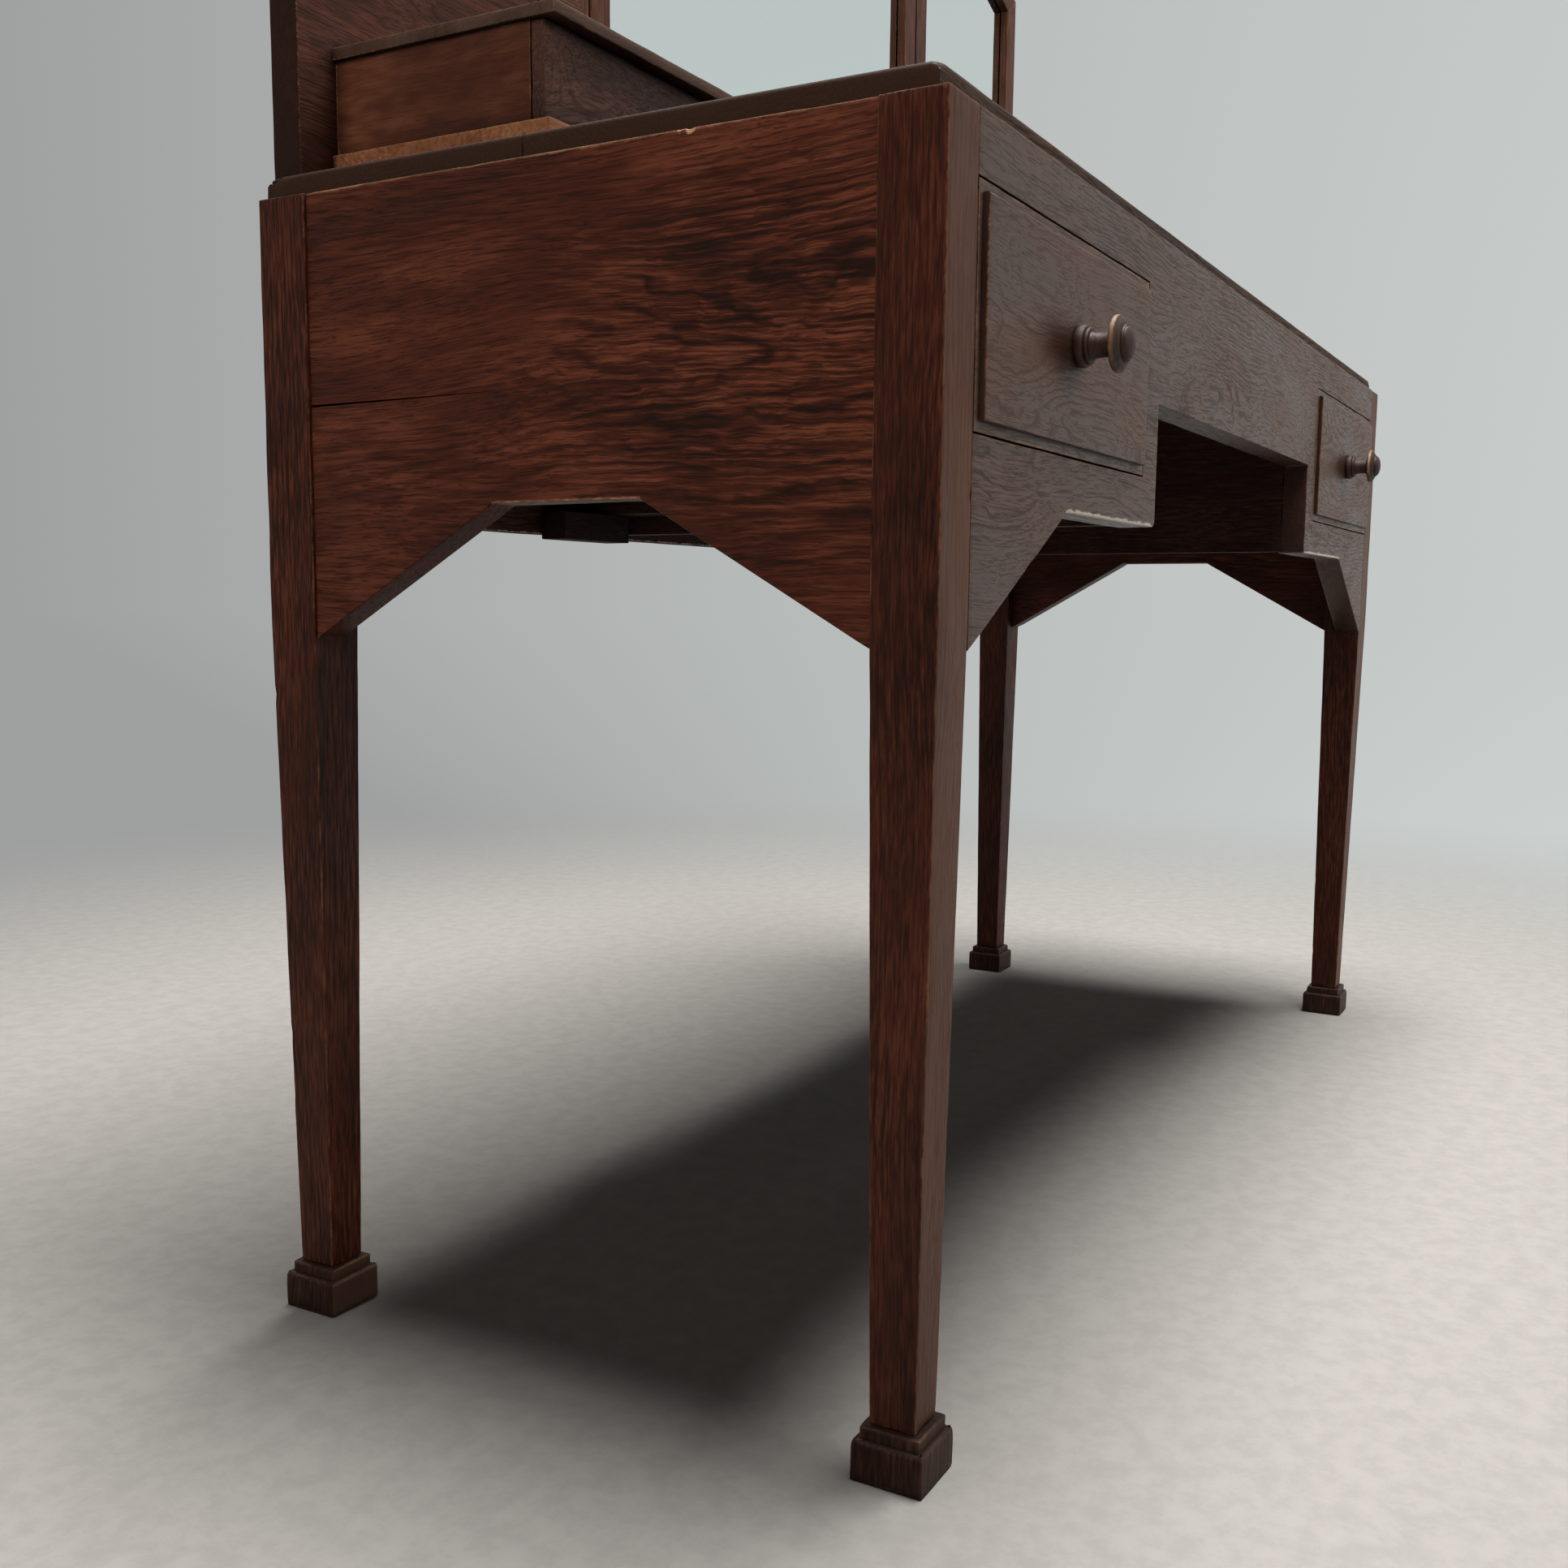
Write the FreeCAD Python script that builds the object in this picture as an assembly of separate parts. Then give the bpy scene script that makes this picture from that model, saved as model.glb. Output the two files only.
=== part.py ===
# Knee-hole dressing table in fumed oak: four tapered legs on block feet, two drawers,
# gallery boards, two jewel cases and a three-part mirror.
# Millimetres, +Z up, the front towards -Y, the left end towards -X.
# The origin is on the floor under the middle of the whole table's box.
import FreeCAD, Part
import math
import os

# Carcase
length = 1219.0                  # over the legs
depth = 459.0                    # over the legs, front to back
leg_height = 711.0               # floor to the underside of the top
eased_arris = 0.8                # rounding of the worn edges
joint_clearance = 0.15           # round a tongue, a tenon or a housed end
cut_overrun = 2.0                # how far a cut runs past the face it opens

# Legs and feet
leg_width = 38.0
leg_toe_width = 27.5             # at the top of the foot
leg_parallel_length = 256.0      # from the top down; the leg tapers below it
foot_height = 30.5
foot_block_width = 42.5
foot_block_height = 23.5
foot_collar_width = 36.0
foot_round = 2.6                 # rounding of the foot block's upper edges
foot_tenon_width = 15.0
foot_tenon_depth = 14.0

# End panels, each of two boards glued edge to edge
panel_thickness = 22.0
panel_recess = 2.0               # the panel's face behind the leg's face
panel_upper_width = 125.0        # the upper board, down to the glue line
panel_end_width = 267.0          # both boards, down to where the arch's slope meets the leg
arch_crown_width = 188.0         # both boards, down to the arch's flat
arch_flat_half = 51.0            # half the flat at the arch's top
crack_width = 1.5                # open glue line at the back of the left panel
crack_length = 165.0

# Tongues that enter the legs
tongue_thickness = 9.0
tongue_length = 12.0
tongue_shoulder = 11.0           # bare height above and below a tongue

# Front board
front_thickness = 25.0
front_end_width = 268.0          # at the leg, from the top down
front_flat_width = 189.5         # at the flat beside the knee-hole
front_middle_width = 107.5       # over the knee-hole
bracket_slope_run = 145.5        # from the leg to the start of the flat
knee_half_width = 247.5
knee_corner_round = 6.0
knee_stile_width = 31.5          # between the knee-hole and a drawer opening
top_rail_width = 33.0            # over a drawer opening
opening_height = 125.0

# Back board and housing sides
back_thickness = 18.0
back_width = 191.0
housing_thickness = 14.0
housing_width = 188.0
housing_depth = 4.0              # how far a housing side enters the front and back boards

# Runners, guides, kickers and glue blocks
runner_width = 20.0
runner_height = 16.0
guide_height = 28.0              # above the runner
kicker_gap = 0.6                 # above the drawer opening
block_size = 22.0
block_length = 70.0
low_block_length = 85.0
low_block_drop = 4.0             # below the back board
block_place_shares = (-0.62, 0.0, 0.62)

# Table top
top_thickness = 14.0
top_end_inset = 6.8
top_front_inset = 8.3
top_joint_place = 30.0           # the joint line, behind the middle
top_round = 3.0

# Main drawers
drawer_gap = 0.8                 # round a drawer front
drawer_front_thickness = 20.0
field_proud = 3.5                # the raised field stands in front of the ledge
field_ledge = 6.0
field_round = 0.9
drawer_side_thickness = 10.0
drawer_side_inset = 0.3          # between the drawer front's end and the side
drawer_side_drop = 6.0           # the sides' upper edge below the front's
drawer_run_clearance = 0.3       # over the runners
drawer_end_gap = 19.0            # between the sides' back ends and the back board
drawer_back_inset = 14.0
drawer_back_thickness = 8.0
drawer_back_drop = 10.0
drawer_bottom_thickness = 5.0
drawer_bottom_rise = 9.0         # the bottom's groove above the sides' lower edge
groove_depth = 4.0
tail_length = 12.0
tail_wide = 24.0
tail_narrow = 16.0
tail_place_shares = (0.18, 0.5, 0.82)

# Main drawer knob
knob_radius = 16.2
knob_projection = 32.5
knob_spigot_radius = 4.0
knob_spigot_length = 13.0
# Each entry is the end of a run and, for a curved run, a point that it passes through,
# as shares of the knob's radius and of its projection. The dome is added to the last point.
knob_profile_shares = (
    ((0.0, 0.0), None),
    ((0.70, 0.0), None),
    ((0.70, 0.165), (0.75, 0.083)),
    ((0.60, 0.175), None),
    ((0.60, 0.245), (0.645, 0.21)),
    ((0.49, 0.255), None),
    ((0.45, 0.59), (0.425, 0.43)),
    ((0.60, 0.62), None),
    ((0.95, 0.665), None),
    ((0.94, 0.77), (1.0, 0.715)),
    ((0.64, 0.885), (0.82, 0.84)),
    ((0.60, 0.92), (0.645, 0.905)),
)

# Gallery boards
gallery_thickness = 23.0
gallery_height = 177.0
gallery_end_inset = 13.5         # outer end inside the leg's face
mirror_gap = 3.5                 # between the centre mirror and the wings and gallery boards

# Jewel cases
case_end_inset = 31.7            # outer face inside the gallery board's end
case_inner_inset = 7.5           # inner face inside the gallery board's other end
case_depth = 163.2               # drawer front's face to the gallery board
case_base_thickness = 18.8
case_base_overhang = 5.0
case_base_front_overhang = 6.8
case_side_thickness = 10.0
case_height = 56.7               # base board to lid
lid_thickness = 8.0
lid_overhang = 3.0
lid_front_overhang = 9.0
lid_round = 1.2
jewel_gap = 0.5                  # round the drawer front and the tray
jewel_front_thickness = 10.0
jewel_tray_wall = 6.0
jewel_tray_bottom = 4.0
jewel_tray_drop = 9.0            # the tray's rim below the lid
jewel_tray_back_gap = 12.0
jewel_knob_radius = 7.0
jewel_knob_projection = 14.0
jewel_spigot_radius = 2.5
jewel_spigot_length = 6.0

# Mirror
centre_height = 620.0            # the centre mirror stands on the table top
centre_half_width = 293.0
stile_width = 25.0
frame_thickness = 23.0
rebate_width = 8.0
rebate_front = 9.0               # wood in front of the glass
glass_thickness = 4.0
glass_play = 1.0                 # between the glass and the rebate
glass_bevel_width = 12.0
glass_bevel_depth = 1.2
backing_thickness = 5.0
cant_run = 150.0                 # level run of a canted corner
cant_rise = 54.0
wing_end_inset = 15.0            # outer edge inside the gallery board's end
wing_bottom_gap = 3.0            # above the gallery board
wing_shoulder = 292.0            # its outer corner, where the cant starts, above its bottom
post_width = 50.0
post_thickness = 18.0
post_drop = 165.0                # below the table top's surface
post_rise = 455.0                # above the table top's surface
post_inset = 53.0                # a post's outer edge inside the centre mirror's edge

# Wing hinges
hinge_height = 45.0
hinge_axis_stand_off = 2.0       # in front of the frame's face
hinge_barrel_radius = 2.2
hinge_pin_radius = 1.0
hinge_running_clearance = 0.05
hinge_leaf_thickness = 1.4
hinge_leaf_width = 14.0
hinge_leaf_set_back = 0.3        # the leaf's front edge behind the frame's face
hinge_knuckle_gap = 0.3
hinge_knuckle_count = 3
hinge_place_shares = (0.22, 0.78)

# Worked out from the values above
half_length = length / 2
half_depth = depth / 2
leg_taper_start = leg_height - leg_parallel_length
panel_joint_height = leg_height - panel_upper_width
arch_spring_height = leg_height - panel_end_width
arch_top_height = leg_height - arch_crown_width
bracket_spring_height = leg_height - front_end_width
bracket_flat_height = leg_height - front_flat_width
knee_height = leg_height - front_middle_width
opening_top = leg_height - top_rail_width
opening_bottom = opening_top - opening_height
opening_inner = knee_half_width + knee_stile_width
back_bottom = leg_height - back_width
housing_bottom = leg_height - housing_width
leg_inner_x = half_length - leg_width
leg_inner_y = half_depth - leg_width
panel_outer_x = half_length - panel_recess
panel_inner_x = panel_outer_x - panel_thickness
front_back_y = front_thickness - half_depth
back_inner_y = half_depth - back_thickness
top_height = leg_height + top_thickness
housing_outer_x = knee_half_width + housing_thickness
face_y = half_depth - gallery_thickness
gallery_top = top_height + gallery_height
gallery_inner = centre_half_width + mirror_gap
gallery_outer = half_length - gallery_end_inset
case_outer = gallery_outer - case_end_inset
case_inner = gallery_inner + case_inner_inset
case_front_y = face_y - case_depth
case_base_top = top_height + case_base_thickness
lid_bottom = case_base_top + case_height
mirror_top = top_height + centre_height
wing_inner = centre_half_width + mirror_gap
wing_outer = gallery_outer - wing_end_inset
wing_bottom = gallery_top + wing_bottom_gap
wing_shoulder_height = wing_bottom + wing_shoulder
hinge_x = centre_half_width + mirror_gap / 2
hinge_y = face_y - hinge_axis_stand_off
front_reach = half_depth + field_proud + knob_projection
back_reach = half_depth + post_thickness
origin_shift = (front_reach - back_reach) / 2

X_AXIS = FreeCAD.Vector(1, 0, 0)
Y_AXIS = FreeCAD.Vector(0, 1, 0)
Z_AXIS = FreeCAD.Vector(0, 0, 1)
FULL_TURN = 360
CLOSE = 1e-3

os.makedirs("parts", exist_ok=True)


def point(x, y, z):
    return FreeCAD.Vector(x, y, z)


def block(x_span, y_span, z_span):
    """A box between a low and a high value on each axis."""
    sizes = [high - low for low, high in (x_span, y_span, z_span)]
    return Part.makeBox(*sizes, point(x_span[0], y_span[0], z_span[0]))


def eased(solid, radius=eased_arris):
    """Rounds every edge of a plain board."""
    return solid.makeFillet(radius, solid.Edges)


def board(x_span, y_span, z_span, radius=eased_arris):
    return eased(block(x_span, y_span, z_span), radius)


def prism_x(outline, x_low, x_high):
    """Extrudes (y, z) points along X."""
    corners = [point(x_low, y, z) for y, z in outline]
    face = Part.Face(Part.makePolygon(corners + corners[:1]))
    return face.extrude(point(x_high - x_low, 0, 0))


def prism_y(outline, y_low, y_high):
    """Extrudes (x, z) points along Y."""
    corners = [point(x, y_low, z) for x, z in outline]
    face = Part.Face(Part.makePolygon(corners + corners[:1]))
    return face.extrude(point(0, y_high - y_low, 0))


def grown(span, margin):
    return span[0] - margin, span[1] + margin


def mirrored_y(shape):
    return shape.mirror(point(0, 0, 0), Y_AXIS)


def for_side(shape, side):
    """The shape is drawn for the right end; the left one is its mirror image."""
    return shape if side > 0 else shape.mirror(point(0, 0, 0), X_AXIS)


def united(shapes):
    return shapes[0].multiFuse(shapes[1:]).removeSplitter() if len(shapes) > 1 else shapes[0]


def less(shape, cutters):
    return shape.cut(cutters) if cutters else shape


def save(name, shapes):
    """Writes one node; a list of solids stays separate solids in it."""
    group = shapes if isinstance(shapes, (list, tuple)) else [shapes]
    solids = [solid for shape in group for solid in shape.Solids]
    node = solids[0] if len(solids) == 1 else Part.makeCompound(solids)
    moved = node.copy()
    moved.translate(point(0, origin_shift, 0))
    moved.exportStep(os.path.join("parts", name + ".step"))


# Tongues of the end panels, in the right-hand leg pair. Each is a box that enters the leg
# behind the given Y face.
def panel_tongue_spans():
    low_top = panel_joint_height - tongue_shoulder
    lower = (arch_spring_height + tongue_shoulder, low_top)
    upper = (panel_joint_height + tongue_shoulder, leg_height - tongue_shoulder)
    return {"lower": lower, "upper": upper}


def panel_tongue(span, margin=0):
    middle = (panel_outer_x + panel_inner_x) / 2
    x_span = grown((middle - tongue_thickness / 2, middle + tongue_thickness / 2), margin)
    y_span = (leg_inner_y, leg_inner_y + tongue_length + margin)
    return block(x_span, y_span, grown(span, margin))


def front_tongue_spans():
    lower = (bracket_spring_height + tongue_shoulder, opening_bottom - tongue_shoulder)
    upper = (opening_top + tongue_shoulder / 2, leg_height - tongue_shoulder / 2)
    return lower, upper


def rail_tongue(y_middle, span, margin=0):
    """A tongue on a front or back board, entering the right-hand leg."""
    x_span = (leg_inner_x, leg_inner_x + tongue_length + margin)
    y_span = grown((y_middle - tongue_thickness / 2, y_middle + tongue_thickness / 2), margin)
    return block(x_span, y_span, grown(span, margin))


def front_tongues(margin=0):
    middle = (front_back_y - half_depth) / 2
    return [rail_tongue(middle, span, margin) for span in front_tongue_spans()]


def back_tongue(margin=0):
    middle = (half_depth + back_inner_y) / 2
    span = (back_bottom + tongue_shoulder, leg_height - tongue_shoulder)
    return rail_tongue(middle, span, margin)


def square(x, y, z, width):
    """A square wire, centred on (x, y), at height z."""
    half = width / 2
    corners = [point(x + a * half, y + b * half, z) for a, b in ((-1, -1), (1, -1), (1, 1), (-1, 1))]
    return Part.makePolygon(corners + corners[:1])


def long_edges(solid):
    """Edges that run mostly up and down."""
    return [e for e in solid.Edges if e.BoundBox.ZLength > e.BoundBox.XLength + e.BoundBox.YLength]


def foot_tenon(x, y, margin=0):
    half = foot_tenon_width / 2 + margin
    low = foot_height - foot_tenon_depth - margin
    return block((x - half, x + half), (y - half, y + half), (low, foot_height))


def right_leg(front):
    """A right-hand leg: parallel above, tapered on all four faces below, mortised for its boards."""
    x = half_length - leg_width / 2
    y = half_depth - leg_width / 2
    taper = Part.makeLoft([square(x, y, foot_height, leg_toe_width),
                           square(x, y, leg_taper_start, leg_width)], True, True)
    shaft = taper.fuse(block((leg_inner_x, half_length), (leg_inner_y, half_depth),
                             (leg_taper_start, leg_height)))
    shaft = shaft.makeFillet(eased_arris, long_edges(shaft))
    mortises = [panel_tongue(span, joint_clearance) for span in panel_tongue_spans().values()]
    if front:
        shaft = mirrored_y(shaft)
        mortises = [mirrored_y(mortise) for mortise in mortises] + front_tongues(joint_clearance)
        return less(shaft, mortises).fuse(mirrored_y(foot_tenon(x, y)))
    return less(shaft, mortises + [back_tongue(joint_clearance)]).fuse(foot_tenon(x, y))


def right_back_foot():
    """A block with rounded upper edges, a square collar on it and a mortise for the leg."""
    x = half_length - leg_width / 2
    y = half_depth - leg_width / 2
    half = foot_block_width / 2
    base = block((x - half, x + half), (y - half, y + half), (0, foot_block_height))
    upper = [e for e in base.Edges if e.BoundBox.ZMin > foot_block_height - CLOSE]
    base = base.makeFillet(foot_round, upper)
    half = foot_collar_width / 2
    collar = block((x - half, x + half), (y - half, y + half), (foot_block_height, foot_height))
    upper = [e for e in collar.Edges if e.BoundBox.ZMin > foot_height - CLOSE]
    collar = collar.makeFillet(foot_round / 2, upper)
    return base.fuse(collar).cut(foot_tenon(x, y, joint_clearance))


def make_legs_and_feet():
    for side, side_name in ((-1, "left"), (1, "right")):
        save("leg_front_" + side_name, for_side(right_leg(True), side))
        save("leg_back_" + side_name, for_side(right_leg(False), side))
        save("foot_front_" + side_name, for_side(mirrored_y(right_back_foot()), side))
        save("foot_back_" + side_name, for_side(right_back_foot(), side))


def upper_panel():
    body = board((panel_inner_x, panel_outer_x), (-leg_inner_y, leg_inner_y),
                 (panel_joint_height, leg_height))
    tongue = panel_tongue(panel_tongue_spans()["upper"])
    return united([body, tongue, mirrored_y(tongue)])


def lower_panel():
    """The board with the arch: two slopes up to a short flat."""
    outline = [(-leg_inner_y, arch_spring_height), (-arch_flat_half, arch_top_height),
               (arch_flat_half, arch_top_height), (leg_inner_y, arch_spring_height),
               (leg_inner_y, panel_joint_height), (-leg_inner_y, panel_joint_height)]
    body = eased(prism_x(outline, panel_inner_x, panel_outer_x))
    tongue = panel_tongue(panel_tongue_spans()["lower"])
    return united([body, tongue, mirrored_y(tongue)])


def crack_wedge():
    """The open glue line, widest at the back leg."""
    start = leg_inner_y - crack_length
    outline = [(start, panel_joint_height), (leg_inner_y, panel_joint_height - crack_width),
               (leg_inner_y, panel_joint_height + cut_overrun), (start, panel_joint_height + cut_overrun)]
    return prism_x(outline, panel_inner_x - cut_overrun, panel_outer_x + cut_overrun)


def make_end_panels():
    for side, side_name in ((-1, "left"), (1, "right")):
        lower = lower_panel()
        if side < 0:
            lower = lower.cut(crack_wedge())
        save("end_panel_" + side_name + "_upper", for_side(upper_panel(), side))
        save("end_panel_" + side_name + "_lower", for_side(lower, side))


def edges_near(solid, x, z):
    """Edges along Y that lie at this x and z."""
    found = []
    for edge in solid.Edges:
        box = edge.BoundBox
        along_y = box.YLength > box.XLength + box.ZLength
        if along_y and abs(abs(box.XMin) - x) < CLOSE and abs(box.ZMin - z) < CLOSE:
            found.append(edge)
    return found


def front_outline():
    """The front board's right half, then its left half, as one closed outline."""
    slope_x = leg_inner_x - bracket_slope_run
    half = [(knee_half_width, knee_height), (knee_half_width, bracket_flat_height),
            (slope_x, bracket_flat_height), (leg_inner_x, bracket_spring_height),
            (leg_inner_x, opening_bottom), (opening_inner, opening_bottom),
            (opening_inner, opening_top), (leg_inner_x, opening_top), (leg_inner_x, leg_height)]
    return half + [(-x, z) for x, z in reversed(half)]


def housing_groove(y_span):
    x_span = grown((knee_half_width, housing_outer_x), joint_clearance)
    return block(x_span, y_span, (housing_bottom - joint_clearance, leg_height + cut_overrun))


def front_board():
    body = prism_y(front_outline(), -half_depth, front_back_y)
    body = body.makeFillet(knee_corner_round, edges_near(body, knee_half_width, bracket_flat_height))
    tongues = front_tongues()
    groove = housing_groove((front_back_y - housing_depth, front_back_y + cut_overrun))
    body = united([body] + tongues + [for_side(tongue, -1) for tongue in tongues])
    return less(body, [groove, for_side(groove, -1)])


def back_board():
    body = board((-leg_inner_x, leg_inner_x), (back_inner_y, half_depth), (back_bottom, leg_height))
    tongue = back_tongue()
    groove = housing_groove((back_inner_y - cut_overrun, back_inner_y + housing_depth))
    return less(united([body, tongue, for_side(tongue, -1)]), [groove, for_side(groove, -1)])


def housing_side():
    y_span = (front_back_y - housing_depth, back_inner_y + housing_depth)
    return block((knee_half_width, housing_outer_x), y_span, (housing_bottom, leg_height))


def runners():
    y_span = (front_back_y, back_inner_y)
    z_span = (opening_bottom - runner_height, opening_bottom)
    inner = block((housing_outer_x, opening_inner + runner_width), y_span, z_span)
    outer = block((leg_inner_x - runner_width, leg_inner_x), y_span, z_span)
    return [inner, outer]


def guides_and_kickers():
    """Guides beside the drawer sides, and kickers above them that stop a drawer tipping."""
    y_span = (front_back_y, back_inner_y)
    guide_top = opening_bottom + guide_height
    kicker_span = (opening_top + kicker_gap, leg_height)
    inner_guide = block((housing_outer_x, opening_inner), y_span, (opening_bottom, guide_top))
    outer_guide = block((leg_inner_x, panel_inner_x), (-leg_inner_y, leg_inner_y),
                        (opening_bottom - runner_height, guide_top))
    inner_kicker = block((opening_inner, opening_inner + runner_width), y_span, kicker_span)
    outer_kicker = block((leg_inner_x - runner_width, leg_inner_x), y_span, kicker_span)
    return [inner_guide, outer_guide, inner_kicker, outer_kicker]


def glue_blocks():
    """Blocks behind the front board and before the back board, and one low one by each runner."""
    blocks = []
    z_span = (leg_height - block_size, leg_height)
    for share in block_place_shares:
        middle = share * knee_half_width
        x_span = (middle - block_length / 2, middle + block_length / 2)
        blocks.append(board(x_span, (front_back_y, front_back_y + block_size), z_span))
        blocks.append(board(x_span, (back_inner_y - block_size, back_inner_y), z_span))
    low = (back_bottom - low_block_drop, opening_bottom - runner_height)
    x_start = opening_inner - runner_width / 2
    low_block = board((x_start, x_start + low_block_length),
                      (back_inner_y - block_size, back_inner_y), low)
    return blocks + [low_block, for_side(low_block, -1)]


def make_carcase():
    save("front_board", front_board())
    save("back_board", back_board())
    for side, side_name in ((-1, "left"), (1, "right")):
        save("housing_side_" + side_name, for_side(housing_side(), side))
    save("drawer_runners", [for_side(s, side) for side in (-1, 1) for s in runners()])
    save("drawer_guides", [for_side(s, side) for side in (-1, 1) for s in guides_and_kickers()])
    save("glue_blocks", glue_blocks())


def top_half(y_span, open_edge):
    """One board of the top; its outer upper edges are rounded, its joint edge is not."""
    half = half_length - top_end_inset
    body = block((-half, half), y_span, (leg_height, top_height))
    upper = []
    for edge in body.Edges:
        box = edge.BoundBox
        on_top = box.ZMin > top_height - CLOSE
        on_joint = box.YLength < CLOSE and abs(box.YMin - open_edge) < CLOSE
        if on_top and not on_joint:
            upper.append(edge)
    return body.makeFillet(top_round, upper)


def make_top():
    save("top_board_front", top_half((top_front_inset - half_depth, top_joint_place), top_joint_place))
    save("top_board_back", top_half((top_joint_place, half_depth), top_joint_place))


def dome_arc(start, tip):
    """An arc from the start to the tip on the axis, with its centre on the axis too."""
    centre = (start.x ** 2 + start.y ** 2 - tip.y ** 2) / (2 * (start.y - tip.y))
    radius = centre - tip.y
    half_turn = math.asin(start.x / radius) / 2
    via = point(radius * math.sin(half_turn), centre - radius * math.cos(half_turn), 0)
    return Part.Arc(start, via, tip).toShape()


def turned(shares, radius, projection, spigot_radius, spigot_length):
    """A knob turned about Y: the profile in front of the face and a spigot behind it."""
    def place(share):
        return point(share[0] * radius, -share[1] * projection, 0)
    edges = []
    here = place(shares[0][0])
    for end_share, via_share in shares[1:]:
        there = place(end_share)
        if via_share is None:
            edges.append(Part.LineSegment(here, there).toShape())
        else:
            edges.append(Part.Arc(here, place(via_share), there).toShape())
        here = there
    tip = point(0, -projection, 0)
    edges.append(dome_arc(here, tip))
    edges.append(Part.LineSegment(tip, place(shares[0][0])).toShape())
    body = Part.Face(Part.Wire(edges)).revolve(point(0, 0, 0), Y_AXIS, FULL_TURN)
    spigot = Part.makeCylinder(spigot_radius, spigot_length, point(0, 0, 0), Y_AXIS)
    return body.fuse(spigot)


# The right-hand main drawer. Its front fills the opening with a gap all round.
drawer_x = (opening_inner + drawer_gap, leg_inner_x - drawer_gap)
drawer_z = (opening_bottom + drawer_gap, opening_top - drawer_gap)
drawer_middle_x = (drawer_x[0] + drawer_x[1]) / 2
drawer_middle_z = (drawer_z[0] + drawer_z[1]) / 2
drawer_inside_y = drawer_front_thickness - half_depth
drawer_side_z = (opening_bottom + drawer_run_clearance, drawer_z[1] - drawer_side_drop)
drawer_end_y = back_inner_y - drawer_end_gap
drawer_back_y = (drawer_end_y - drawer_back_inset - drawer_back_thickness, drawer_end_y - drawer_back_inset)
groove_z = drawer_side_z[0] + drawer_bottom_rise
bottom_z = (groove_z, groove_z + drawer_bottom_thickness)


def side_spans():
    """The X spans of a drawer's inner and outer sides."""
    inner = drawer_x[0] + drawer_side_inset
    outer = drawer_x[1] - drawer_side_inset
    return {"inner": (inner, inner + drawer_side_thickness),
            "outer": (outer - drawer_side_thickness, outer)}


def tails(x_span):
    """The dovetails on a drawer side's front end."""
    low, high = drawer_side_z
    shapes = []
    for share in tail_place_shares:
        z = low + share * (high - low)
        outline = [(drawer_inside_y, z - tail_narrow / 2), (drawer_inside_y, z + tail_narrow / 2),
                   (drawer_inside_y - tail_length, z + tail_wide / 2),
                   (drawer_inside_y - tail_length, z - tail_wide / 2)]
        shapes.append(prism_x(outline, *x_span))
    return shapes


def drawer_bottom(margin=0):
    inner = side_spans()["inner"][1] - groove_depth
    outer = side_spans()["outer"][0] + groove_depth
    y_span = (drawer_inside_y - groove_depth - margin, drawer_back_y[1] + margin)
    return block(grown((inner, outer), margin), y_span, grown(bottom_z, margin))


def drawer_back(margin=0):
    inner = side_spans()["inner"][1] - groove_depth
    outer = side_spans()["outer"][0] + groove_depth
    z_span = (bottom_z[1], drawer_side_z[1] - drawer_back_drop)
    return block(grown((inner, outer), margin), drawer_back_y, grown(z_span, margin))


def drawer_front():
    body = block(drawer_x, (-half_depth, drawer_inside_y), drawer_z)
    field = block(grown(drawer_x, -field_ledge), (-half_depth - field_proud, -half_depth),
                  grown(drawer_z, -field_ledge))
    rim = [e for e in field.Edges if e.BoundBox.YMax < CLOSE - half_depth - field_proud]
    field = field.makeFillet(field_round, rim)
    bore = Part.makeCylinder(knob_spigot_radius, knob_spigot_length,
                             point(drawer_middle_x, -half_depth - field_proud, drawer_middle_z), Y_AXIS)
    cutters = tails(side_spans()["inner"]) + tails(side_spans()["outer"])
    groove = drawer_bottom(joint_clearance)
    return less(body.fuse(field), cutters + [groove, bore])


def drawer_side(which):
    x_span = side_spans()[which]
    body = block(x_span, (drawer_inside_y, drawer_end_y), drawer_side_z)
    body = united([body] + tails(x_span))
    return less(body, [drawer_bottom(joint_clearance), drawer_back(joint_clearance)])


def drawer_knob():
    knob = turned(knob_profile_shares, knob_radius, knob_projection, knob_spigot_radius, knob_spigot_length)
    knob.translate(point(drawer_middle_x, -half_depth - field_proud, drawer_middle_z))
    return knob


def make_drawers():
    for side, side_name in ((-1, "left"), (1, "right")):
        stem = "drawer_" + side_name
        save(stem + "_front", for_side(drawer_front(), side))
        save(stem + "_side_outer", for_side(drawer_side("outer"), side))
        save(stem + "_side_inner", for_side(drawer_side("inner"), side))
        save(stem + "_back", for_side(drawer_back(), side))
        save(stem + "_bottom", for_side(drawer_bottom(), side))
        save(stem + "_knob", for_side(drawer_knob(), side))


def gallery_board():
    return board((gallery_inner, gallery_outer), (face_y, half_depth), (top_height, gallery_top))


def case_base():
    x_span = (case_inner - case_base_overhang, case_outer + case_base_overhang)
    return board(x_span, (case_front_y - case_base_front_overhang, face_y), (top_height, case_base_top))


def case_sides():
    y_span = (case_front_y + jewel_front_thickness + jewel_gap, face_y)
    z_span = (case_base_top, lid_bottom)
    inner = block((case_inner, case_inner + case_side_thickness), y_span, z_span)
    outer = block((case_outer - case_side_thickness, case_outer), y_span, z_span)
    return [inner, outer]


def case_lid():
    x_span = grown((case_inner, case_outer), lid_overhang)
    y_span = (case_front_y - lid_front_overhang, face_y)
    return board(x_span, y_span, (lid_bottom, lid_bottom + lid_thickness), lid_round)


jewel_z = (case_base_top + jewel_gap, lid_bottom - jewel_gap)
jewel_middle_x = (case_inner + case_outer) / 2
jewel_middle_z = (jewel_z[0] + jewel_z[1]) / 2


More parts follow.
